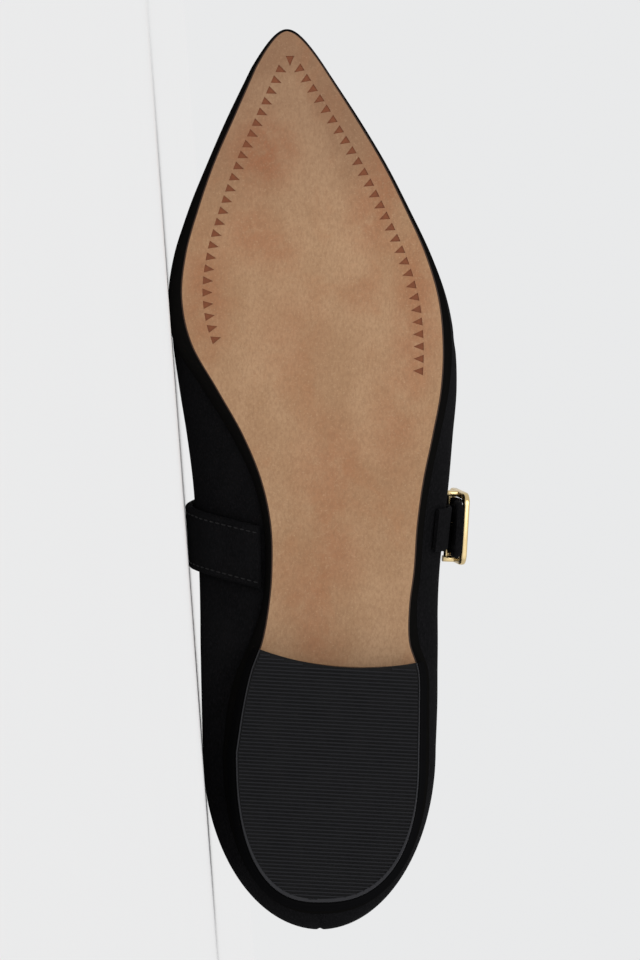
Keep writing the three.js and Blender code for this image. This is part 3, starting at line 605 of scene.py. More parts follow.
class Recipe:
    """A material's nodes, made one at a time. Places are the shoe's own frame, in metres."""

    def __init__(self, name, specular=0.5, sheen=0.0, metallic=0.0):
        self.material = bpy.data.materials.new(name)
        self.material.use_nodes = True
        self.tree = self.material.node_tree
        self.shader = self.tree.nodes["Principled BSDF"]
        self.set("Specular IOR Level", specular)
        self.set("Sheen Weight", sheen)
        self.set("Metallic", metallic)
        upright = self.tree.nodes.new("ShaderNodeMapping")
        upright.vector_type = "TEXTURE"
        upright.inputs["Location"].default_value = SHOE.to_translation()
        upright.inputs["Rotation"].default_value = SHOE.to_euler()
        row = self.tree.nodes.new("ShaderNodeTexCoord").outputs["Object"]
        self.feed(upright.inputs["Vector"], row)
        self.place = upright.outputs["Vector"]

    def feed(self, socket, value):
        if isinstance(value, bpy.types.NodeSocket):
            self.tree.links.new(value, socket)
        elif isinstance(value, tuple) and len(value) == 3 and socket.type == "RGBA":
            socket.default_value = (*value, 1.0)
        else:
            socket.default_value = value

    def set(self, name, value):
        self.feed(self.shader.inputs[name], value)

    def done(self, colour, roughness, normal):
        """The finished material."""
        self.set("Base Color", colour)
        self.set("Roughness", roughness)
        self.set("Normal", normal)
        return self.material

    def mottled(self, spots, dark, light, roughness, bumps, depth):
        """The finished material, where spots sets the colour and the roughness."""
        return self.done(
            self.blend(spots, linear(*dark), linear(*light)),
            self.between(spots, 0.3, 0.7, *roughness),
            self.bump(bumps, depth),
        )

    def times(self, a, b):
        node = self.tree.nodes.new("ShaderNodeMath")
        node.operation = "MULTIPLY"
        self.feed(node.inputs[0], a)
        self.feed(node.inputs[1], b)
        return node.outputs[0]

    def stretched(self, scale, turn):
        node = self.tree.nodes.new("ShaderNodeMapping")
        self.feed(node.inputs["Vector"], self.place)
        node.inputs["Scale"].default_value = scale
        node.inputs["Rotation"].default_value = turn
        return node.outputs["Vector"]

    def noise(self, scale, detail=3.0, roughness=0.5, turn=(0.0, 0.0, 0.0), bend=0.0):
        """scale is one number or three, in features per metre."""
        scales = scale if isinstance(scale, tuple) else (scale,) * 3
        node = self.tree.nodes.new("ShaderNodeTexNoise")
        self.feed(node.inputs["Vector"], self.stretched(scales, turn))
        node.inputs["Scale"].default_value = 1.0
        node.inputs["Detail"].default_value = detail
        node.inputs["Roughness"].default_value = roughness
        node.inputs["Distortion"].default_value = bend
        return node.outputs["Fac"]

    def cells(self, scale):
        node = self.tree.nodes.new("ShaderNodeTexVoronoi")
        self.feed(node.inputs["Vector"], self.place)
        node.inputs["Scale"].default_value = scale
        return node.outputs["Distance"]

    def between(self, value, low, high, to_low=0.0, to_high=1.0):
        node = self.tree.nodes.new("ShaderNodeMapRange")
        node.interpolation_type = "SMOOTHSTEP"
        self.feed(node.inputs["Value"], value)
        node.inputs["From Min"].default_value = low
        node.inputs["From Max"].default_value = high
        node.inputs["To Min"].default_value = to_low
        node.inputs["To Max"].default_value = to_high
        return node.outputs["Result"]

    def near(self, x, y, radius, stretch=1.0):
        """1 at a place of the sole, in millimetres, fading out to 0 at radius."""
        node = self.tree.nodes.new("ShaderNodeVectorMath")
        node.operation = "DISTANCE"
        flat = self.tree.nodes.new("ShaderNodeMapping")
        self.feed(flat.inputs["Vector"], self.place)
        flat.inputs["Scale"].default_value = (1.0, 1.0 / stretch, 0.0)
        self.feed(node.inputs[0], flat.outputs["Vector"])
        node.inputs[1].default_value = (x * MM, y * MM / stretch, 0.0)
        return self.between(node.outputs["Value"], 0.0, radius * MM, 1.0, 0.0)

    def blend(self, share, a, b):
        node = self.tree.nodes.new("ShaderNodeMix")
        node.data_type = "RGBA"
        self.feed(node.inputs["Factor"], share)
        self.feed(node.inputs[6], a)
        self.feed(node.inputs[7], b)
        return node.outputs[2]

    def layered(self, base, layers):
        """base under thin layers, each a share and a colour."""
        for share, colour in layers:
            base = self.blend(share, base, linear(*colour))
        return base

    def bump(self, height, depth, normal=None):
        """height is a value about 0 to 1, depth the millimetres it stands for."""
        node = self.tree.nodes.new("ShaderNodeBump")
        node.inputs["Strength"].default_value = 1.0
        node.inputs["Distance"].default_value = depth * MM
        self.feed(node.inputs["Height"], height)
        if normal is not None:
            self.feed(node.inputs["Normal"], normal)
        return node.outputs["Normal"]


def linear(red, green, blue):
    """A linear colour from an sRGB one of 0 to 255."""
    def one(value):
        share = value / 255
        return share / 12.92 if share <= 0.04045 else ((share + 0.055) / 1.055) ** 2.4
    return (one(red), one(green), one(blue))


def suede_material():
    """Black suede: short nap with patches where it lies the other way."""
    recipe = Recipe("black_suede", specular=0.03, sheen=0.05)
    recipe.set("Sheen Roughness", 0.5)
    recipe.set("Sheen Tint", linear(90, 89, 92))
    patches = recipe.between(recipe.noise(38.0, 4.0, 0.55, bend=0.6), 0.35, 0.68)
    nap = recipe.noise((2600.0, 900.0, 2600.0), 4.0, 0.7)
    fluff = recipe.noise(5200.0, 2.0, 0.6)
    base = recipe.blend(patches, linear(10, 10, 11), linear(15, 15, 16))
    return recipe.done(
        recipe.blend(recipe.between(nap, 0.4, 0.75), base, linear(24, 23, 25)),
        recipe.between(nap, 0.3, 0.7, 0.88, 1.0),
        recipe.bump(fluff, 0.05, recipe.bump(nap, 0.16)),
    )


def lining_material():
    """Beige lining leather with a fine grain."""
    recipe = Recipe("beige_lining")
    grain = recipe.cells(1500.0)
    cloudy = recipe.noise(45.0)
    base = recipe.blend(cloudy, linear(196, 168, 138), linear(210, 184, 154))
    pores = recipe.between(grain, 0.0, 0.35, 0.35, 0.0)
    return recipe.done(
        recipe.blend(pores, base, linear(150, 122, 95)),
        recipe.between(cloudy, 0.3, 0.7, 0.52, 0.66),
        recipe.bump(grain, 0.06),
    )


def sock_material():
    """Beige sock leather, worn darker under the heel."""
    recipe = Recipe("beige_sock")
    grain = recipe.cells(1250.0)
    cloudy = recipe.noise(60.0, 4.0)
    worn = recipe.times(recipe.near(-1, 42, 26), 0.25)
    pores = recipe.between(grain, 0.0, 0.3, 0.3, 0.0)
    base = recipe.blend(cloudy, linear(188, 158, 126), linear(203, 174, 142))
    return recipe.done(
        recipe.layered(base, [(worn, (160, 128, 98)), (pores, (140, 110, 84))]),
        recipe.between(cloudy, 0.3, 0.7, 0.48, 0.62),
        recipe.bump(grain, 0.07),
    )


def sole_material():
    """Tan sole leather, brushed along the shoe, with warm mottled patches."""
    recipe = Recipe("tan_sole_leather", specular=0.25)
    split = recipe.tree.nodes.new("ShaderNodeSeparateXYZ")
    recipe.feed(split.inputs[0], recipe.place)
    toward_toe = recipe.between(split.outputs["Y"], 0.2, 0.25)
    clouds = recipe.noise((48.0, 34.0, 40.0), 5.0, 0.6, bend=0.4)
    clouds = recipe.between(clouds, 0.35, 0.68)
    warm = recipe.noise((60.0, 50.0, 40.0), 4.0, 0.6, bend=0.5)
    warm = recipe.between(warm, 0.5, 0.72)
    broken = recipe.between(recipe.noise(150.0, 5.0, 0.65), 0.2, 0.6)
    brushed = recipe.noise((1300.0, 620.0, 1300.0), 4.0, 0.7, turn=(0.0, 0.0, 0.35))
    pores = recipe.noise(1500.0, 4.0, 0.7)
    layers = [(recipe.times(clouds, 0.75), (177, 142, 108)), (recipe.times(warm, 0.4), (158, 106, 70))]
    for *spot, strength in BLOTCHES:
        patch = recipe.times(recipe.near(*spot), broken)
        layers.append((recipe.times(patch, strength), (150, 94, 60)))
    layers += [
        (recipe.between(brushed, 0.35, 0.7, 0.0, 0.42), (128, 94, 66)),
        (recipe.between(pores, 0.52, 0.75, 0.0, 0.5), (186, 152, 118)),
        (recipe.times(toward_toe, 0.3), (112, 80, 60)),
    ]
    base = recipe.blend(toward_toe, linear(160, 124, 91), linear(145, 109, 80))
    return recipe.done(
        recipe.layered(base, layers),
        recipe.between(clouds, 0.0, 1.0, 0.56, 0.44),
        recipe.bump(pores, 0.03, recipe.bump(brushed, 0.035)),
    )


def wedge_material():
    """The brown that the stamp leaves."""
    recipe = Recipe("stamped_brown", specular=0.2)
    worn = recipe.noise(900.0, 3.0, 0.6)
    return recipe.mottled(worn, (100, 54, 33), (135, 80, 51), (0.5, 0.7), worn, 0.05)


def ink_material():
    """The sole's inked edge."""
    recipe = Recipe("inked_edge", specular=0.0)
    streaks = recipe.noise((300.0, 300.0, 3200.0), 3.0, 0.6)
    return recipe.mottled(streaks, (9, 9, 9), (17, 16, 15), (0.45, 0.65), streaks, 0.04)


def burnished_and_shade_material():
    """Dark brown leather at the sole's rim and the heel's front. At the heel's front its dark brown
    also stands for painted shade under the breast.
    """
    recipe = Recipe("burnished_leather_and_shade", specular=0.2)
    patchy = recipe.noise(420.0, 4.0, 0.65)
    return recipe.mottled(patchy, (30, 20, 15), (70, 47, 33), (0.4, 0.55), patchy, 0.04)


def heel_material():
    """Black painted heel, its layers just showing."""
    recipe = Recipe("black_heel", specular=0.0)
    layers = recipe.noise((20.0, 20.0, 900.0), 2.0, 0.5)
    scuffs = recipe.noise(260.0, 5.0, 0.7)
    base = recipe.blend(layers, linear(10, 10, 11), linear(16, 16, 17))
    return recipe.done(
        recipe.blend(recipe.between(scuffs, 0.62, 0.78, 0.0, 0.4), base, linear(26, 25, 25)),
        recipe.between(scuffs, 0.3, 0.75, 0.42, 0.62),
        recipe.bump(layers, 0.06),
    )


def rubber_material(name, dark, light):
    """Dusty rubber. Its near-black copy for the heel's grooves is painted shade."""
    recipe = Recipe(name, specular=0.15)
    dusty = recipe.noise(120.0, 4.0, 0.6)
    fine = recipe.noise(2600.0, 2.0)
    return recipe.mottled(dusty, dark, light, (0.48, 0.66), fine, 0.03)


def thread_material():
    """Black sewing thread."""
    recipe = Recipe("black_thread", specular=0.2, sheen=0.1)
    twist = recipe.noise(2200.0, 2.0)
    return recipe.mottled(twist, (9, 9, 10), (26, 25, 26), (0.6, 0.8), twist, 0.06)


def gold_material():
    """Pale gold plating, faintly brushed."""
    recipe = Recipe("pale_gold", metallic=1.0)
    tarnish = recipe.noise(260.0, 4.0, 0.6)
    brushed = recipe.noise((2600.0, 300.0, 2600.0), 2.0)
    return recipe.mottled(tarnish, (200, 175, 124), (222, 200, 154), (0.16, 0.28), brushed, 0.008)


# Pieces

def half_foot(side):
    """One side of the upper's widest line, flattened."""
    return on_loop("upper", side, np.linspace(0, 3, OUTLINE_PLACES))


def half_collar(side):
    """One side of the collar and throat line, flattened."""
    centre = np.array([spine_x(HEEL_Y), HEEL_Y])
    column = "inner" if side > 0 else "outer"
    points = []
    for turn in (0, 0.3, 0.65):
        share = mix(COLLAR_BACK, COLLAR[column][0], turn**2)
        points.append(mix(centre, on_loop("upper", side, turn), share))
    for at, share in zip(COLLAR["at"], COLLAR[column]):
        y = at * LENGTH
        points.append(mix(np.array([spine_x(y), y]), on_loop("upper", side, turn_at(y)), share))
    throat = THROAT_AT * LENGTH
    points.append(np.array([spine_x(throat), throat]))
    points.insert(0, np.array([2 * points[0][0] - points[1][0], points[1][1]]))
    points.append(np.array([2 * points[-1][0] - points[-2][0], points[-2][1]]))
    return through(points, OUTLINE_PLACES, trim=1)


def column_shares():
    """From the back seam to the toe, closer at the seam and toward the tip."""
    even = np.linspace(0, 1, WALL_SHARES)
    crowded = even + COLUMN_CROWDING * (even - even**6)
    seam = np.linspace(0, BACK_SEAM["reach"], 11)[:-1] / lengths(half_foot(1))[1]
    return np.concatenate([seam, crowded[crowded > seam[-1] * 1.1]])


def wall_columns():
    """The flattened foot and rim of each column, once round the shoe."""
    shares = column_shares()
    feet, rims = [], []
    for side, way in ((1, shares[:-1]), (-1, shares[:0:-1])):
        drifted = way + COLLAR_DRIFT * way * (1 - way)
        feet.append(evenly(half_foot(side), way))
        rims.append(evenly(half_collar(side), drifted))
    return np.concatenate(feet), np.concatenate(rims)


def creased(flat):
    """How deep the vamp's creases and the back seam lie at flattened places."""
    x = flat[..., 0]
    y = flat[..., 1]
    depth = np.zeros(x.shape)
    for at, bow, start, end, deep, wide in CREASES:
        share = np.clip((x - start) / (end - start), 0, 1)
        middle = at - bow * 4 * (share - 0.5) ** 2
        fade = np.sin(np.pi * share) ** 2
        depth += deep * fade * np.exp(-(((y - middle) / wide) ** 2))
    back = smooth(y, *BACK_SEAM["fades"])
    depth += BACK_SEAM["depth"] * back * np.exp(-((x / BACK_SEAM["width"]) ** 2))
    return depth


def wall_normal(flat, inward):
    """The wall's outward direction at flattened places, where inward leads up the wall."""
    around = np.stack([-inward[..., 1], inward[..., 0]], -1)
    slope_in = on_flat(flat + inward * PROBE) - on_flat(flat - inward * PROBE)
    slope_around = on_flat(flat + around * PROBE) - on_flat(flat - around * PROBE)
    return unit(np.cross(slope_in, slope_around))


def wall_skin(up):
    """Outer places and normals of the upper at shares of the way from foot to rim."""
    feet, rims = wall_columns()
    flat = mix(feet[:, None], rims[:, None], up[None, :, None])
    normal = wall_normal(flat, unit(rims - feet)[:, None])
    return on_flat(flat) - normal * creased(flat)[..., None], normal


def upper(suede, lining):
    """One shell: suede outside, rolled over the collar's edge, and the lining inside."""
    outside, normal = wall_skin(np.linspace(0, 1, WALL_ROWS) ** ROW_CROWDING)
    inside = outside - normal * UPPER_WALL
    side, turn, _ = unflatten(wall_columns()[0])
    inside[:, 0] = inside_feather(side, turn, 0)
    radius = UPPER_WALL / 2
    rise = unit(outside[:, -1] - outside[:, -3])
    centre = outside[:, -1] - normal[:, -1] * radius - rise * radius * ROLL["sink"]
    roll = []
    for angle in np.linspace(ROLL["start"], ROLL["end"], ROLL["steps"]) * np.pi:
        out = normal[:, -1] * np.cos(angle) * radius
        over = rise * np.sin(angle) * radius
        roll.append(centre + out + over)
    rings = np.concatenate([outside, np.stack(roll, 1), inside[:, ::-1]], axis=1)
    paint = np.zeros(rings.shape[1], int)
    paint[WALL_ROWS + ROLL["steps"] + TURNED_IN:] = 1
    piece = loft("suede_upper", rings, [suede, lining], paint, closed=True)
    return dress(piece, "suede", "upper")


def stitches(path, normals):
    """Short threads laid along a path, one part each."""
    along, total = lengths(path)
    count = int(total / STITCH["pitch"])
    at = (np.arange(count) + 0.5) / count
    before, after = (evenly(path, np.clip(at + step, 0, 1)) for step in (-0.002, 0.002))
    place = evenly(path, at)
    ahead = unit(after - before)
    out = unit(sampled(normals, along, at))
    beside = np.cross(out, ahead)
    angles = turns_round(STITCH_SIDES)[:, None]
    parts = []
    for centre, forward, upward, side in zip(place, ahead, out, beside):
        across = side * np.cos(angles) * STITCH["width"] / 2
        high = upward * np.sin(angles) * STITCH["height"] / 2
        rings = []
        for share in np.linspace(-1, 1, STITCH_RINGS):
            swell = math.sqrt(max(1 - share**2, 0.02))
            arch = upward * (swell - STITCH["sunk"]) * STITCH["arch"]
            middle = centre + forward * share * STITCH["length"] / 2 + arch
            rings.append(middle + (across + high) * swell)
        parts.append(part(rings))
    return parts


def sewn(name, rows, thread):
    """One object of many stitches."""
    piece = joined(name, rows, [thread])
    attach(piece, BODY)
    return piece


def topline_stitches(thread):
    """A row of stitches below the collar's edge, once round."""
    feet, rims = wall_columns()
    share = 1 - TOPLINE["below"] / np.linalg.norm(rims - feet, axis=1)
    flat = mix(feet, rims, share[:, None])
    normal = wall_normal(flat, unit(rims - feet))
    path = on_flat(flat) + normal * TOPLINE["lift"]
    return sewn("topline_stitches", stitches(path, normal), thread)


def sole_turns():
    return np.linspace(0, 3, 3 * SOLE_STATIONS + 1)


def outsole(tan, burnished, ink, brown):
    """The leather sole: tan below, a burnished line, and an inked edge that rounds up to the top."""
    turns = sole_turns()
    tread = [on_loop("tread", side, turns) for side in (-1, 1)]
    edge = [on_loop("edge", side, turns) for side in (-1, 1)]
    half = np.linalg.norm(tread[1] - tread[0], axis=1) / 2
    line = np.minimum(INK_LINE / np.maximum(half, 1e-6), 0.5)
    across = np.linspace(-1, 1, SOLE_ACROSS["below"])[1:-1, None] * SOLE_ACROSS["spread"] * (1 - line)
    ends = np.ones_like(line)
    shares = np.concatenate([[-ends, line - 1], across, [1 - line, ends]])
    middle = (tread[0] + tread[1]) / 2
    bottom = [middle + (tread[1] - middle) * share[:, None] for share in shares]

    def laid(plan, up):
        return raised(plan, underside(plan[:, 1]) + OUTSOLE * up)

    rings = [laid(plan, 0) for plan in bottom]
    angles = np.linspace(0, np.pi / 2, BEVEL["steps"] + 1)[1:]
    bevel = [(math.sin(angle), (1 - math.cos(angle)) ** BEVEL["power"]) for angle in angles]
    rings += [laid(mix(tread[1], edge[1], out), up) for out, up in bevel]
    top = np.linspace(1, -1, SOLE_ACROSS["above"])[1:-1]
    centre = (edge[0] + edge[1]) / 2
    rings += [laid(centre + (edge[1] - centre) * share, 1) for share in top]
    rings += [laid(mix(tread[0], edge[0], out), up) for out, up in bevel[::-1]]
    paint = np.full(len(rings), 2)
    paint[1:len(bottom) - 2] = 0
    paint[[0, len(bottom) - 2]] = 1
    rings = np.stack(rings, 1)
    piece = loft("leather_sole", rings, [tan, burnished, ink], paint, sharp=70)
    cut(piece, wedge_cutter(brown), sharp=40)
    evened = piece.modifiers.new("evened", "WEIGHTED_NORMAL")
    evened.keep_sharp = True
    return dress(piece, "outsole", "outsole")


def wedge_cutter(brown):
    """Small triangular prisms that stamp the sole, bases outward."""
    spots = []
    for side, inset, first, last, count in WEDGE_ROWS:
        y = np.linspace(first, last, WEDGE_PLACES)
        edge_x = on_loop("tread", side, turn_at(np.minimum(y, TOE_Y)))[:, 0]
        path = np.stack([edge_x - side * inset * slanted(side, y), y], -1)
        place = evenly(path, np.linspace(0, 1, count))
        ahead = unit(np.gradient(place, axis=0))
        normal = np.stack([-ahead[:, 1], ahead[:, 0]], -1)
        outward = normal * np.sign(normal[:, :1] * side)
        spots += list(zip(place, outward))
    spots.append((np.array(APEX_WEDGE), np.array([0.0, 1.0])))
    parts = []
    for place, outward in spots:
        beside = np.array([-outward[1], outward[0]])
        tip = place - outward * WEDGE["length"] / 2
        base = place + outward * WEDGE["length"] / 2
        corners = [tip, base + beside * WEDGE["width"] / 2, base - beside * WEDGE["width"] / 2]
        floors = [float(underside(corner[1])) for corner in corners]
        rings = [
            [(*corner, floor + up) for corner, floor in zip(corners, floors)]
            for up in (-WEDGE["below"], WEDGE["depth"])
        ]
        parts.append(part(rings))
    return joined("wedges", parts, [brown], sharp=30)


def slanted(side, y):
    """How much further in, measured straight across, a row lies where the edge slants."""
    millimetre = 1 / (TOE_Y - HEEL_Y)
    turn = turn_at(np.minimum(y, TOE_Y))
    ahead = on_loop("tread", side, np.minimum(turn + millimetre, 2))
    behind = on_loop("tread", side, turn - millimetre)
    slope = (ahead[:, 0] - behind[:, 0]) / (ahead[:, 1] - behind[:, 1])
    return mix(1.0, np.sqrt(1 + slope**2), SLANT_SHARE)


def heel_outline(grow):
    """The heel's outline grown by millimetres, and where its front starts and how long it is."""
    def turns(corner):
        back = np.linspace(0, 1, HEEL_STATIONS["back"])
        return np.concatenate([back, np.linspace(1, turn_at(corner), HEEL_STATIONS["side"])[1:]])

    inner = on_loop("tread", 1, turns(BREAST["inner"]))
    outer = on_loop("tread", -1, turns(BREAST["outer"]))
    start, end = inner[-1], outer[-1]
    bend = np.array([(start[0] + end[0]) / 2, BREAST["hollow"]])
    share = np.linspace(0, 1, HEEL_STATIONS["front"])[1:-1, None]
    breast = start * (1 - share) ** 2 + 2 * bend * share * (1 - share) + end * share**2
    points = np.concatenate([inner, breast, outer[:0:-1]])
    middle = np.array([(start[0] + end[0]) / 2, HEEL_MIDDLE])
    reach = np.linalg.norm(middle - inner[HEEL_STATIONS["back"] - 1])
    grown = middle + (points - middle) * (1 + grow / reach)
    grown[:, 1] = np.minimum(grown[:, 1], np.maximum(points[:, 1], HEEL_MIDDLE))
    return grown, len(inner) - 1, len(breast) + 1


def heel_block(black, breast_leather_and_shade):
    """The heel: it flares toward the seat, and its front shows dark brown leather that also stands for
    painted shade at the breast.
    """
    base = TOP_PIECE + SEAM
    top = HEEL_HEIGHT - SEAM
    rings = []
    for share in np.linspace(0, 1, HEEL_STATIONS["rings"]):
        rounded = HEEL_ROUNDING if share == 0 else 0
        flared = TOP_PIECE_STEP + HEEL_FLARE * share**HEEL_FLARE_POWER
        plan, first, length = heel_outline(flared - rounded)
        rings.append(raised(plan, mix(base, top, share)))
    paint = np.zeros(len(rings[0]), int)
    # The front takes the dark brown: partly leather and partly painted shade under the breast.
    paint[first:first + length] = 1
    piece = loft("heel_stack", rings, [black, breast_leather_and_shade], paint, sharp=40)
    return dress(piece, "heel", "heel_block")


def crossings(outline, start, ahead):
    """Where a line crosses a closed outline, as distances along the line."""
    aside = np.array([-ahead[1], ahead[0]])
    offset = (outline - start) @ aside
    along = (outline - start) @ ahead
    next_offset = np.roll(offset, -1)
    next_along = np.roll(along, -1)
    hit = offset * next_offset < 0
    share = offset[hit] / (offset[hit] - next_offset[hit])
    return np.sort(mix(along[hit], next_along[hit], share))


def heel_tread(rubber, groove, rim):
    """The rubber wearing piece: a plate with fine ribs inside a thin lip. The plate between the ribs
    takes a darker rubber, which is painted shade in the grooves.
    """
    outline, first, length = heel_outline(0)
    plate = [raised(outline, z) for z in (RIB["height"], TOP_PIECE)]
    # The plate shows only between the ribs; its darker colour is painted shade in the grooves.
    parts = [part(plate, index=1)]
    middle = np.array([outline[:, 0].mean(), HEEL_MIDDLE])
    inset = heel_outline(-RIB["inset"])[0]
    tilt = math.radians(RIB["tilt"])
    ahead = np.array([math.cos(tilt), math.sin(tilt)])
    down = np.array([-ahead[1], ahead[0]])
    rib = np.array(RIB_PROFILE) * (RIB["width"], RIB["height"])
    for row in range(-40, 41):     # more rows than the heel is long
        start = middle + down * row * RIB["pitch"]
        marks = crossings(inset, start, ahead)
        for left, right in zip(marks[::2], marks[1::2]):
            if right - left < RIB["shortest"]:
                continue
            ends = [start + ahead * along for along in (left, right)]
            rings = [raised(end + rib[:, :1] * down, rib[:, 1]) for end in ends]
            parts.append(part(rings))
    parts.append(part(lip_rings(outline, middle, first, length), index=2))
    piece = joined("heel_tread_rubber", parts, [rubber, groove, rim], sharp=35)
    return dress(piece, "heel_rubber", "heel_top_piece")


def lip_rings(outline, middle, first, length):
    """The raised lip round the heel's curved rim, from one end of its front to the other."""
    root = LIP["root"]
    rings = []
    for place in np.concatenate([outline[first + length:], outline[:first + 1]]):
        inward = unit(middle - place)
        wide = mix(LIP["back"], LIP["side"], float(smooth(place[1], *LIP["narrows"])))
        profile = [(0, root), (0.05, 0.08), (0.16, 0), (wide - 0.1, 0), (wide, 0.1), (wide, root)]
        rings.append([(*(place + inward * inset), height) for inset, height in profile])
    return rings


def sock(material):
    """Board and sock: flat below, its upper edge rounded over."""
    turns = sole_turns()
    left = inside_feather(-1, turns, INSOLE_GAP - SOCK_SPREAD)
    right = inside_feather(1, turns, INSOLE_GAP - SOCK_SPREAD)
    half = np.linalg.norm(right - left, axis=1) / 2
    middle = (left + right) / 2
    inset = np.minimum(SOCK["rim"] / np.maximum(half, 1e-6), 0.5)

    def laid(share, up):
        place = middle + (right - middle) * share[:, None]
        place[:, 2] = topside(place[:, 1]) + SEAM + INSOLE * up
        return place

    def rim(sign, angle):
        share = sign * (1 - inset * (1 - math.cos(angle)))
        return laid(share, mix(SOCK_HEIGHTS["wall"], 1, math.sin(angle)))

    def cupped(share):
        return laid(share * (1 - inset), 1 - SOCK_HEIGHTS["cup"] * (1 - share**4))

    curl = np.linspace(0, np.pi / 2, SOCK["curl"])
    rings = [rim(1, angle) for angle in curl]
    rings += [cupped(share) for share in np.linspace(1, -1, SOCK["across"])[1:-1]]
    rings += [rim(-1, angle) for angle in curl[::-1]]
    rings += [laid(np.full(len(turns), share), 0) for share in np.linspace(-1, 1, SOCK["below"])]
    piece = loft("beige_sock", np.stack(rings, 1), [material])
    return dress(piece, "sock", "insole")


def buckle_axes():
    """The buckle's own frame on the outer wall: down the strap, along the shoe and out."""
    y = BUCKLE["along"] * LENGTH
    origin = over_last(BUCKLE["girth"], y)
    out = over_last_normal(BUCKLE["girth"], y)
    down = over_last(BUCKLE["girth"] + 0.01, y) - origin
    down = unit(down - out * down.dot(out))
    heelward = np.array([0.0, -1.0, 0.0])
    turned = np.sign(np.cross(down, heelward).dot(out)) * BUCKLE["slant"]
    down = np.array(Matrix.Rotation(turned, 3, Vector(out)) @ Vector(down))
    along = np.cross(out, down)
    return origin, np.stack([down, along, out])


BUCKLE_ORIGIN, BUCKLE_AXES = buckle_axes()


def on_wall(points):
    """Places given down the strap, along the shoe and out, in the buckle's own frame."""
    return BUCKLE_ORIGIN + np.asarray(points, float) @ BUCKLE_AXES


def strap_stand_off(a):
    """How far the strap's middle stands out, a millimetres down from the buckle's bar."""
    low = BUCKLE["floor"] - 1.3 * SEAM - STRAP / 2
    high = BUCKLE["barHeight"] + TAB["eye"] + SEAM + STRAP / 2
    half = BUCKLE["length"] / 2 - BUCKLE["rail"]
    if abs(a) < half:
        return mix(low, high - STRAP_DROP, (math.cos(math.pi * a / half) + 1) / 2)
    return low + TAIL["rise"] * (a - half) if a > 0 else low


def strap_edges(count):
    """The strap's two edges, over the last and then through the buckle."""
    girths = [-0.99, -0.94, -0.88, -0.8, -0.7, -0.58, -0.44, -0.3, -0.15, 0, 0.15, 0.28, 0.4]
    downs = [-13, -10, -7, -3.5, 0, 3.5, 7, 10.5, TAIL["length"]]
    edges = []
    for edge in (-1, 1):
        points = []
        for girth in girths:
            along, width, lift = (
                read(STRAP_WAY, "girth", column, girth) for column in ("along", "width", "lift")
            )
            y = along * LENGTH + edge * width / 2
            points.append(off_last(girth, y, lift + STRAP / 2))
        for a in downs:
            points.append(on_wall((a, -edge * BUCKLE["strapWidth"] / 2, strap_stand_off(a))))
        edges.append(through(points, count))
    return edges


def band_rings(edges, thick, groove, squeeze=None):
    """Rings of a padded band with rounded edges and a groove along each row of stitches."""
    heelward, toeward = edges
    middle = (heelward + toeward) / 2
    half = (toeward - heelward) / 2
    ahead = unit(np.gradient(middle, axis=0))
    across = unit(half - ahead * (half * ahead).sum(-1, keepdims=True))
    out = -np.cross(ahead, across)
    reach = np.linalg.norm(half, axis=1)
    if squeeze is not None:
        half = half * squeeze[:, None]
    lift = thick / 2 * np.sqrt(1 - (1 - np.minimum(BAND_DEPTHS / BAND_CORNER, 1)) ** 2)
    dip = groove * np.exp(-(((BAND_DEPTHS - STITCH_INSET) / STITCH["width"]) ** 2))
    shares = 1 - BAND_DEPTHS[None] / reach[:, None]
    sides = np.concatenate([-shares, shares[:, ::-1]], axis=1)
    heights = np.concatenate([lift - dip, (lift - dip)[::-1]])
    under = np.concatenate([lift, lift[::-1]])
    flat = middle[:, None] + half[:, None] * sides[..., None]
    top = flat + out[:, None] * heights[:, None]
    low = flat - out[:, None] * under[:, None]
    return np.concatenate([top, low[:, -2:0:-1]], axis=1), middle, half, out


def strap_squeeze(middle):
    """The free end rounds off over its last millimetres."""
    along, total = lengths(middle)
    left = (1 - along) * total / STRAP_END["length"]
    return np.sqrt(1 - (1 - np.clip(left, 0.02, 1)) ** STRAP_END["power"])


def strap(suede, thread):
    """The strap with its holes, and a row of stitches along each edge."""
    edges = strap_edges(STRAP_STATIONS)
    squeeze = strap_squeeze((edges[0] + edges[1]) / 2)
    rings, middle, half, out = band_rings(edges, STRAP, STRAP_GROOVE, squeeze)
    piece = loft("suede_strap", rings, [suede])
    holes = []
    for a, radius in STRAP_HOLES:
        place, way = strap_spot(middle, out, a)
        path = [place - way * 2 * STRAP, place + way * 2 * STRAP]
        holes.append(part(tube(path, radius, 20)))
    cut(piece, joined("holes", holes, [suede]))
    dress(piece, "suede", "strap")
    rows = []
    sewn_end = STRAP_STATIONS - STRAP_END["bare"]
    reach = np.maximum(np.linalg.norm(half, axis=1), STITCH_INSET * 1.05)
    aside = half * (1 - STITCH_INSET / reach)[:, None]
    for sign in (-1, 1):
        path = middle + aside * sign + out * (STRAP / 2 - STITCH["arch"])
        rows += stitches(path[:sewn_end], out[:sewn_end])
    return sewn("strap_stitches", rows, thread)


def strap_spot(middle, out, a):
    """The strap's middle line where it lies a millimetres down from the buckle's bar."""
    local = (middle - BUCKLE_ORIGIN) @ BUCKLE_AXES.T
    buckle_half = len(middle) // 2
    i = buckle_half + int(np.argmin(np.abs(local[buckle_half:, 0] - a)))
    return middle[i], out[i]


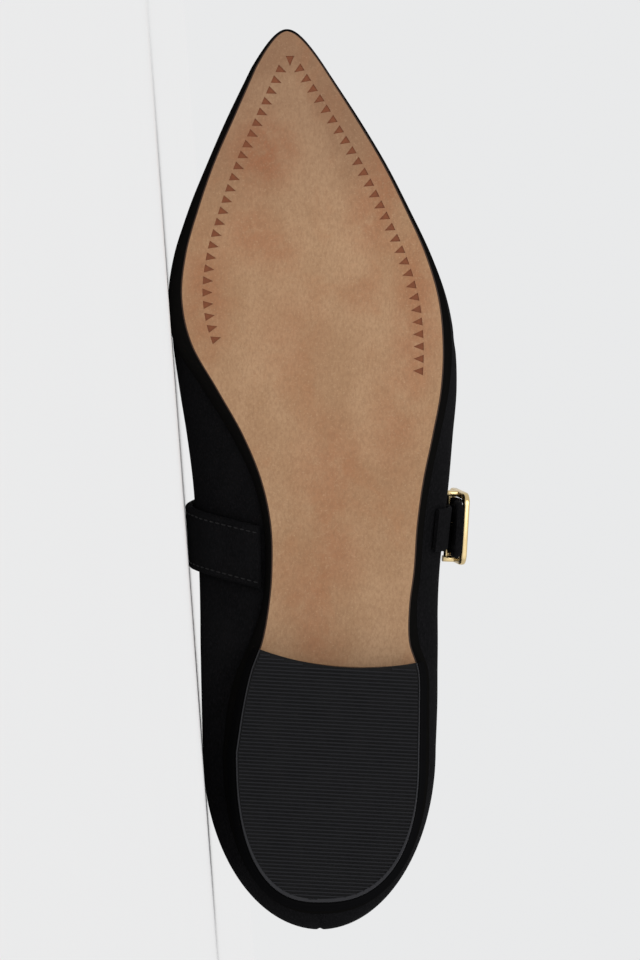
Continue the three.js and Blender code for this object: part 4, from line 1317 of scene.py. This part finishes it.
def tab(suede):
    """The tab that holds the buckle: up the outer wall, round the bar and back under itself."""
    radius = BUCKLE["bar"] + SEAM + TAB_FOLD / 2
    girths = [TAB["foot"], 0.88, 0.83, 0.78, 0.75]
    edges = []
    for edge in (-1, 1):
        points = []
        for girth in girths:
            shift = TAB["perGirth"] * (girth - BUCKLE["girth"]) * math.tan(BUCKLE["slant"])
            y = BUCKLE["along"] * LENGTH + edge * TAB["width"] / 2 - shift
            points.append(off_last(girth, y, SEAM + TAB["thick"] / 2))
        for angle in np.linspace(*TAB_WRAP) * np.pi:
            a = -math.cos(angle) * radius
            n = BUCKLE["barHeight"] + math.sin(angle) * radius
            points.append(on_wall((a, -edge * TAB["width"] / 2, n)))
        edges.append(through(points, TAB_STATIONS))
    rings = band_rings(edges, TAB_FOLD, TAB_GROOVE)[0]
    piece = loft("suede_tab", rings, [suede])
    size = np.array([TAB_SLOT["long"], TAB["slot"] / 2, TAB_SLOT["high"]])
    corners = [(-1, -1), (1, -1), (1, 1), (-1, 1)]
    centre = np.array([TAB_SLOT["at"], 0, BUCKLE["barHeight"]])
    box = [[on_wall(centre + size * (x, y, z)) for x, y in corners] for z in (-1, 1)]
    cut(piece, joined("slot", [part(box)], [suede]), folded=True)
    return dress(piece, "suede", "buckle_tab")


def frame_path(length, width, corner, per_corner=9):
    """A rounded rectangle, its corners and straight sides as places."""
    points = []
    for quarter, (sign_a, sign_b) in enumerate([(1, -1), (1, 1), (-1, 1), (-1, -1)]):
        angles = np.linspace(-np.pi / 2, 0, per_corner) + quarter * np.pi / 2
        centre_a = (length / 2 - corner) * sign_a
        centre_b = (width / 2 - corner) * sign_b
        for angle in angles:
            points.append((centre_a + corner * math.cos(angle), centre_b + corner * math.sin(angle)))
    return np.array(points)


def buckle_frame(gold):
    """The frame's rounded rails, its centre bar and the lugs that carry the bar."""
    length, rail, thick = BUCKLE["length"], BUCKLE["rail"], BUCKLE["thick"]
    width = BUCKLE["strapWidth"] + 2 * (SEAM + rail)
    outer = frame_path(length, width, BUCKLE["corner"])
    inner = frame_path(length - 2 * rail, width - 2 * rail, BUCKLE["corner"] - rail / 2)
    middle = (outer + inner) / 2
    half = (outer - inner) / 2
    across, high = rounded_square(*SECTION["rail"]).T
    heights = BUCKLE["floor"] + thick / 2 * (1 + high)
    rings = [
        on_wall(raised(place + across[:, None] * reach, heights))
        for place, reach in zip(middle, half)
    ]
    parts = [part(rings, closed=True)]
    y = (width - rail) / 2
    bar = on_wall([(0, along, BUCKLE["barHeight"]) for along in (-y, 0, y)])
    parts.append(part(rod_rings(bar, BUCKLE["bar"])))
    for side in (-1, 1):
        low = BUCKLE["barHeight"] - LUG["below"] * BUCKLE["bar"]
        high = BUCKLE["floor"] + thick / 4
        lug = []
        for share in np.linspace(0, 1, LUG["rings"]):
            z = mix(low, high, share)
            long = BUCKLE["post"] / 2 * mix(LUG["foot"], 1, math.sqrt(max(share, 0.02)))
            wide = (rail - SEAM) / 2
            plan = rounded_square(*SECTION["lug"]) * (long, wide) + (0, side * y)
            lug.append(on_wall(raised(plan, z)))
        parts.append(part(lug))
    piece = joined("gold_frame", parts, [gold], sharp=50)
    return dress(piece, "gold", "buckle_frame")


def rod_rings(path, radius, sides=20):
    """Rings of a straight rod across the strap, in the buckle's own frame."""
    angles = turns_round(sides)[:, None]
    circle = np.cos(angles) * BUCKLE_AXES[0] + np.sin(angles) * BUCKLE_AXES[2]
    return [place + radius * circle for place in path]


def buckle_prong(gold):
    """The prong: an eye round the bar and a pin that thins toward its tip."""
    bar = BUCKLE["bar"] + SEAM
    wall = BUCKLE["eyeWall"]
    across, along = rounded_square(*SECTION["eye"]).T
    reach = bar + wall / 2 * (1 + across)
    beside = along * BUCKLE["eyeWidth"] / 2
    eye = []
    for turn in turns_round(EYE_RINGS):
        height = BUCKLE["barHeight"] + reach * math.sin(turn)
        eye.append(on_wall(np.stack([reach * math.cos(turn), beside, height], -1)))
    path = through([(a, 0, n) for a, n in PRONG_WAY], PRONG_RINGS)
    share = np.linspace(0, 1, len(path))
    past = np.clip(1 - (1 - share) / PRONG_TIP["share"], 0, 0.99)
    radii = BUCKLE["prong"] * np.sqrt(1 - past**2) * mix(1, PRONG_TIP["thinner"], share)
    pin = [on_wall(ring) for ring in tube(path, radii, 16)]
    piece = joined("gold_prong", [part(eye, closed=True), part(pin)], [gold], sharp=50)
    return dress(piece, "gold", "buckle_prong")


# Floor, lights and camera

def floor():
    """A plain pale floor."""
    recipe = Recipe("pale_floor", specular=0.0)
    recipe.set("Roughness", 0.9)
    speck = recipe.noise(3.0, 2.0)
    recipe.set("Base Color", recipe.blend(speck, (0.808, 0.806, 0.806), (0.816, 0.814, 0.812)))
    mesh = bpy.data.meshes.new("floor")
    angles = turns_round(96)
    circle = raised(np.stack([np.cos(angles), np.sin(angles)], -1), 0)
    rings = [radius * circle for radius in FLOOR_RADII]
    centre = len(rings) * len(angles)
    faces, _ = loft_faces(len(rings), len(angles))
    faces += [[centre, i, (i + 1) % len(angles)] for i in range(len(angles))]
    points = np.concatenate([*rings, [[0, 0, 0]]])
    mesh.from_pydata(points.tolist(), [], faces)
    mesh.materials.append(recipe.material)
    clean(mesh)
    placed("floor", mesh)


def world():
    """An even pale studio light."""
    made = bpy.data.worlds.new("studio")
    bpy.context.scene.world = made
    made.use_nodes = True
    background = made.node_tree.nodes["Background"]
    background.inputs["Color"].default_value = (0.815, 0.82, 0.825, 1.0)
    background.inputs["Strength"].default_value = 1.0


def sun(name, toward, strength, spread):
    """A soft lamp without falloff that shines along toward."""
    lamp = bpy.data.lights.new(name, "SUN")
    lamp.energy = strength
    lamp.angle = math.radians(spread)
    holder = placed(name, lamp)
    holder.rotation_mode = "QUATERNION"
    holder.rotation_quaternion = Vector(toward).to_track_quat("-Z", "Y")


def camera():
    """Straight at the sole, from as far as keeps the photograph's flat perspective."""
    distance = 2.4
    seen_height = 0.2836           # metres in the long side of the frame, at the ground's plane
    lens = bpy.data.cameras.new("camera")
    lens.sensor_width = 36
    lens.lens = distance * lens.sensor_width / seen_height
    lens.clip_start = 0.05
    lens.clip_end = 60
    holder = placed("camera", lens)
    place = SHOE @ Vector((0, LENGTH / 2 * MM, -distance))
    turn = SHOE.to_3x3().normalized()
    axes = Matrix([-turn.col[0], turn.col[1], -turn.col[2]]).transposed()
    holder.matrix_world = Matrix.Translation(place) @ axes.to_4x4()
    bpy.context.scene.camera = holder


def main():
    bpy.context.scene.view_settings.view_transform = "Standard"
    camera()
    suede = suede_material()
    thread = thread_material()
    gold = gold_material()
    upper(suede, lining_material())
    topline_stitches(thread)
    outsole(sole_material(), burnished_and_shade_material(), ink_material(), wedge_material())
    # The heel's front is dark brown leather that is partly painted shade at the breast.
    heel_block(heel_material(), burnished_and_shade_material())
    heel_tread(
        rubber_material("black_rubber", (21, 21, 24), (30, 30, 33)),
        # The plate's near-black rubber is painted shade between the ribs.
        rubber_material("groove_rubber_painted_shade", (4, 4, 5), (8, 8, 9)),
        rubber_material("rim_rubber", (30, 30, 33), (46, 46, 49)),
    )
    sock(sock_material())
    strap(suede, thread)
    tab(suede)
    buckle_frame(gold)
    buckle_prong(gold)
    floor()
    world()
    sun("key", (0.85, -0.1, -0.52), 0.84, 40)
    sun("fill", (0.72, 0.4, -0.56), 0.35, 60)


main()
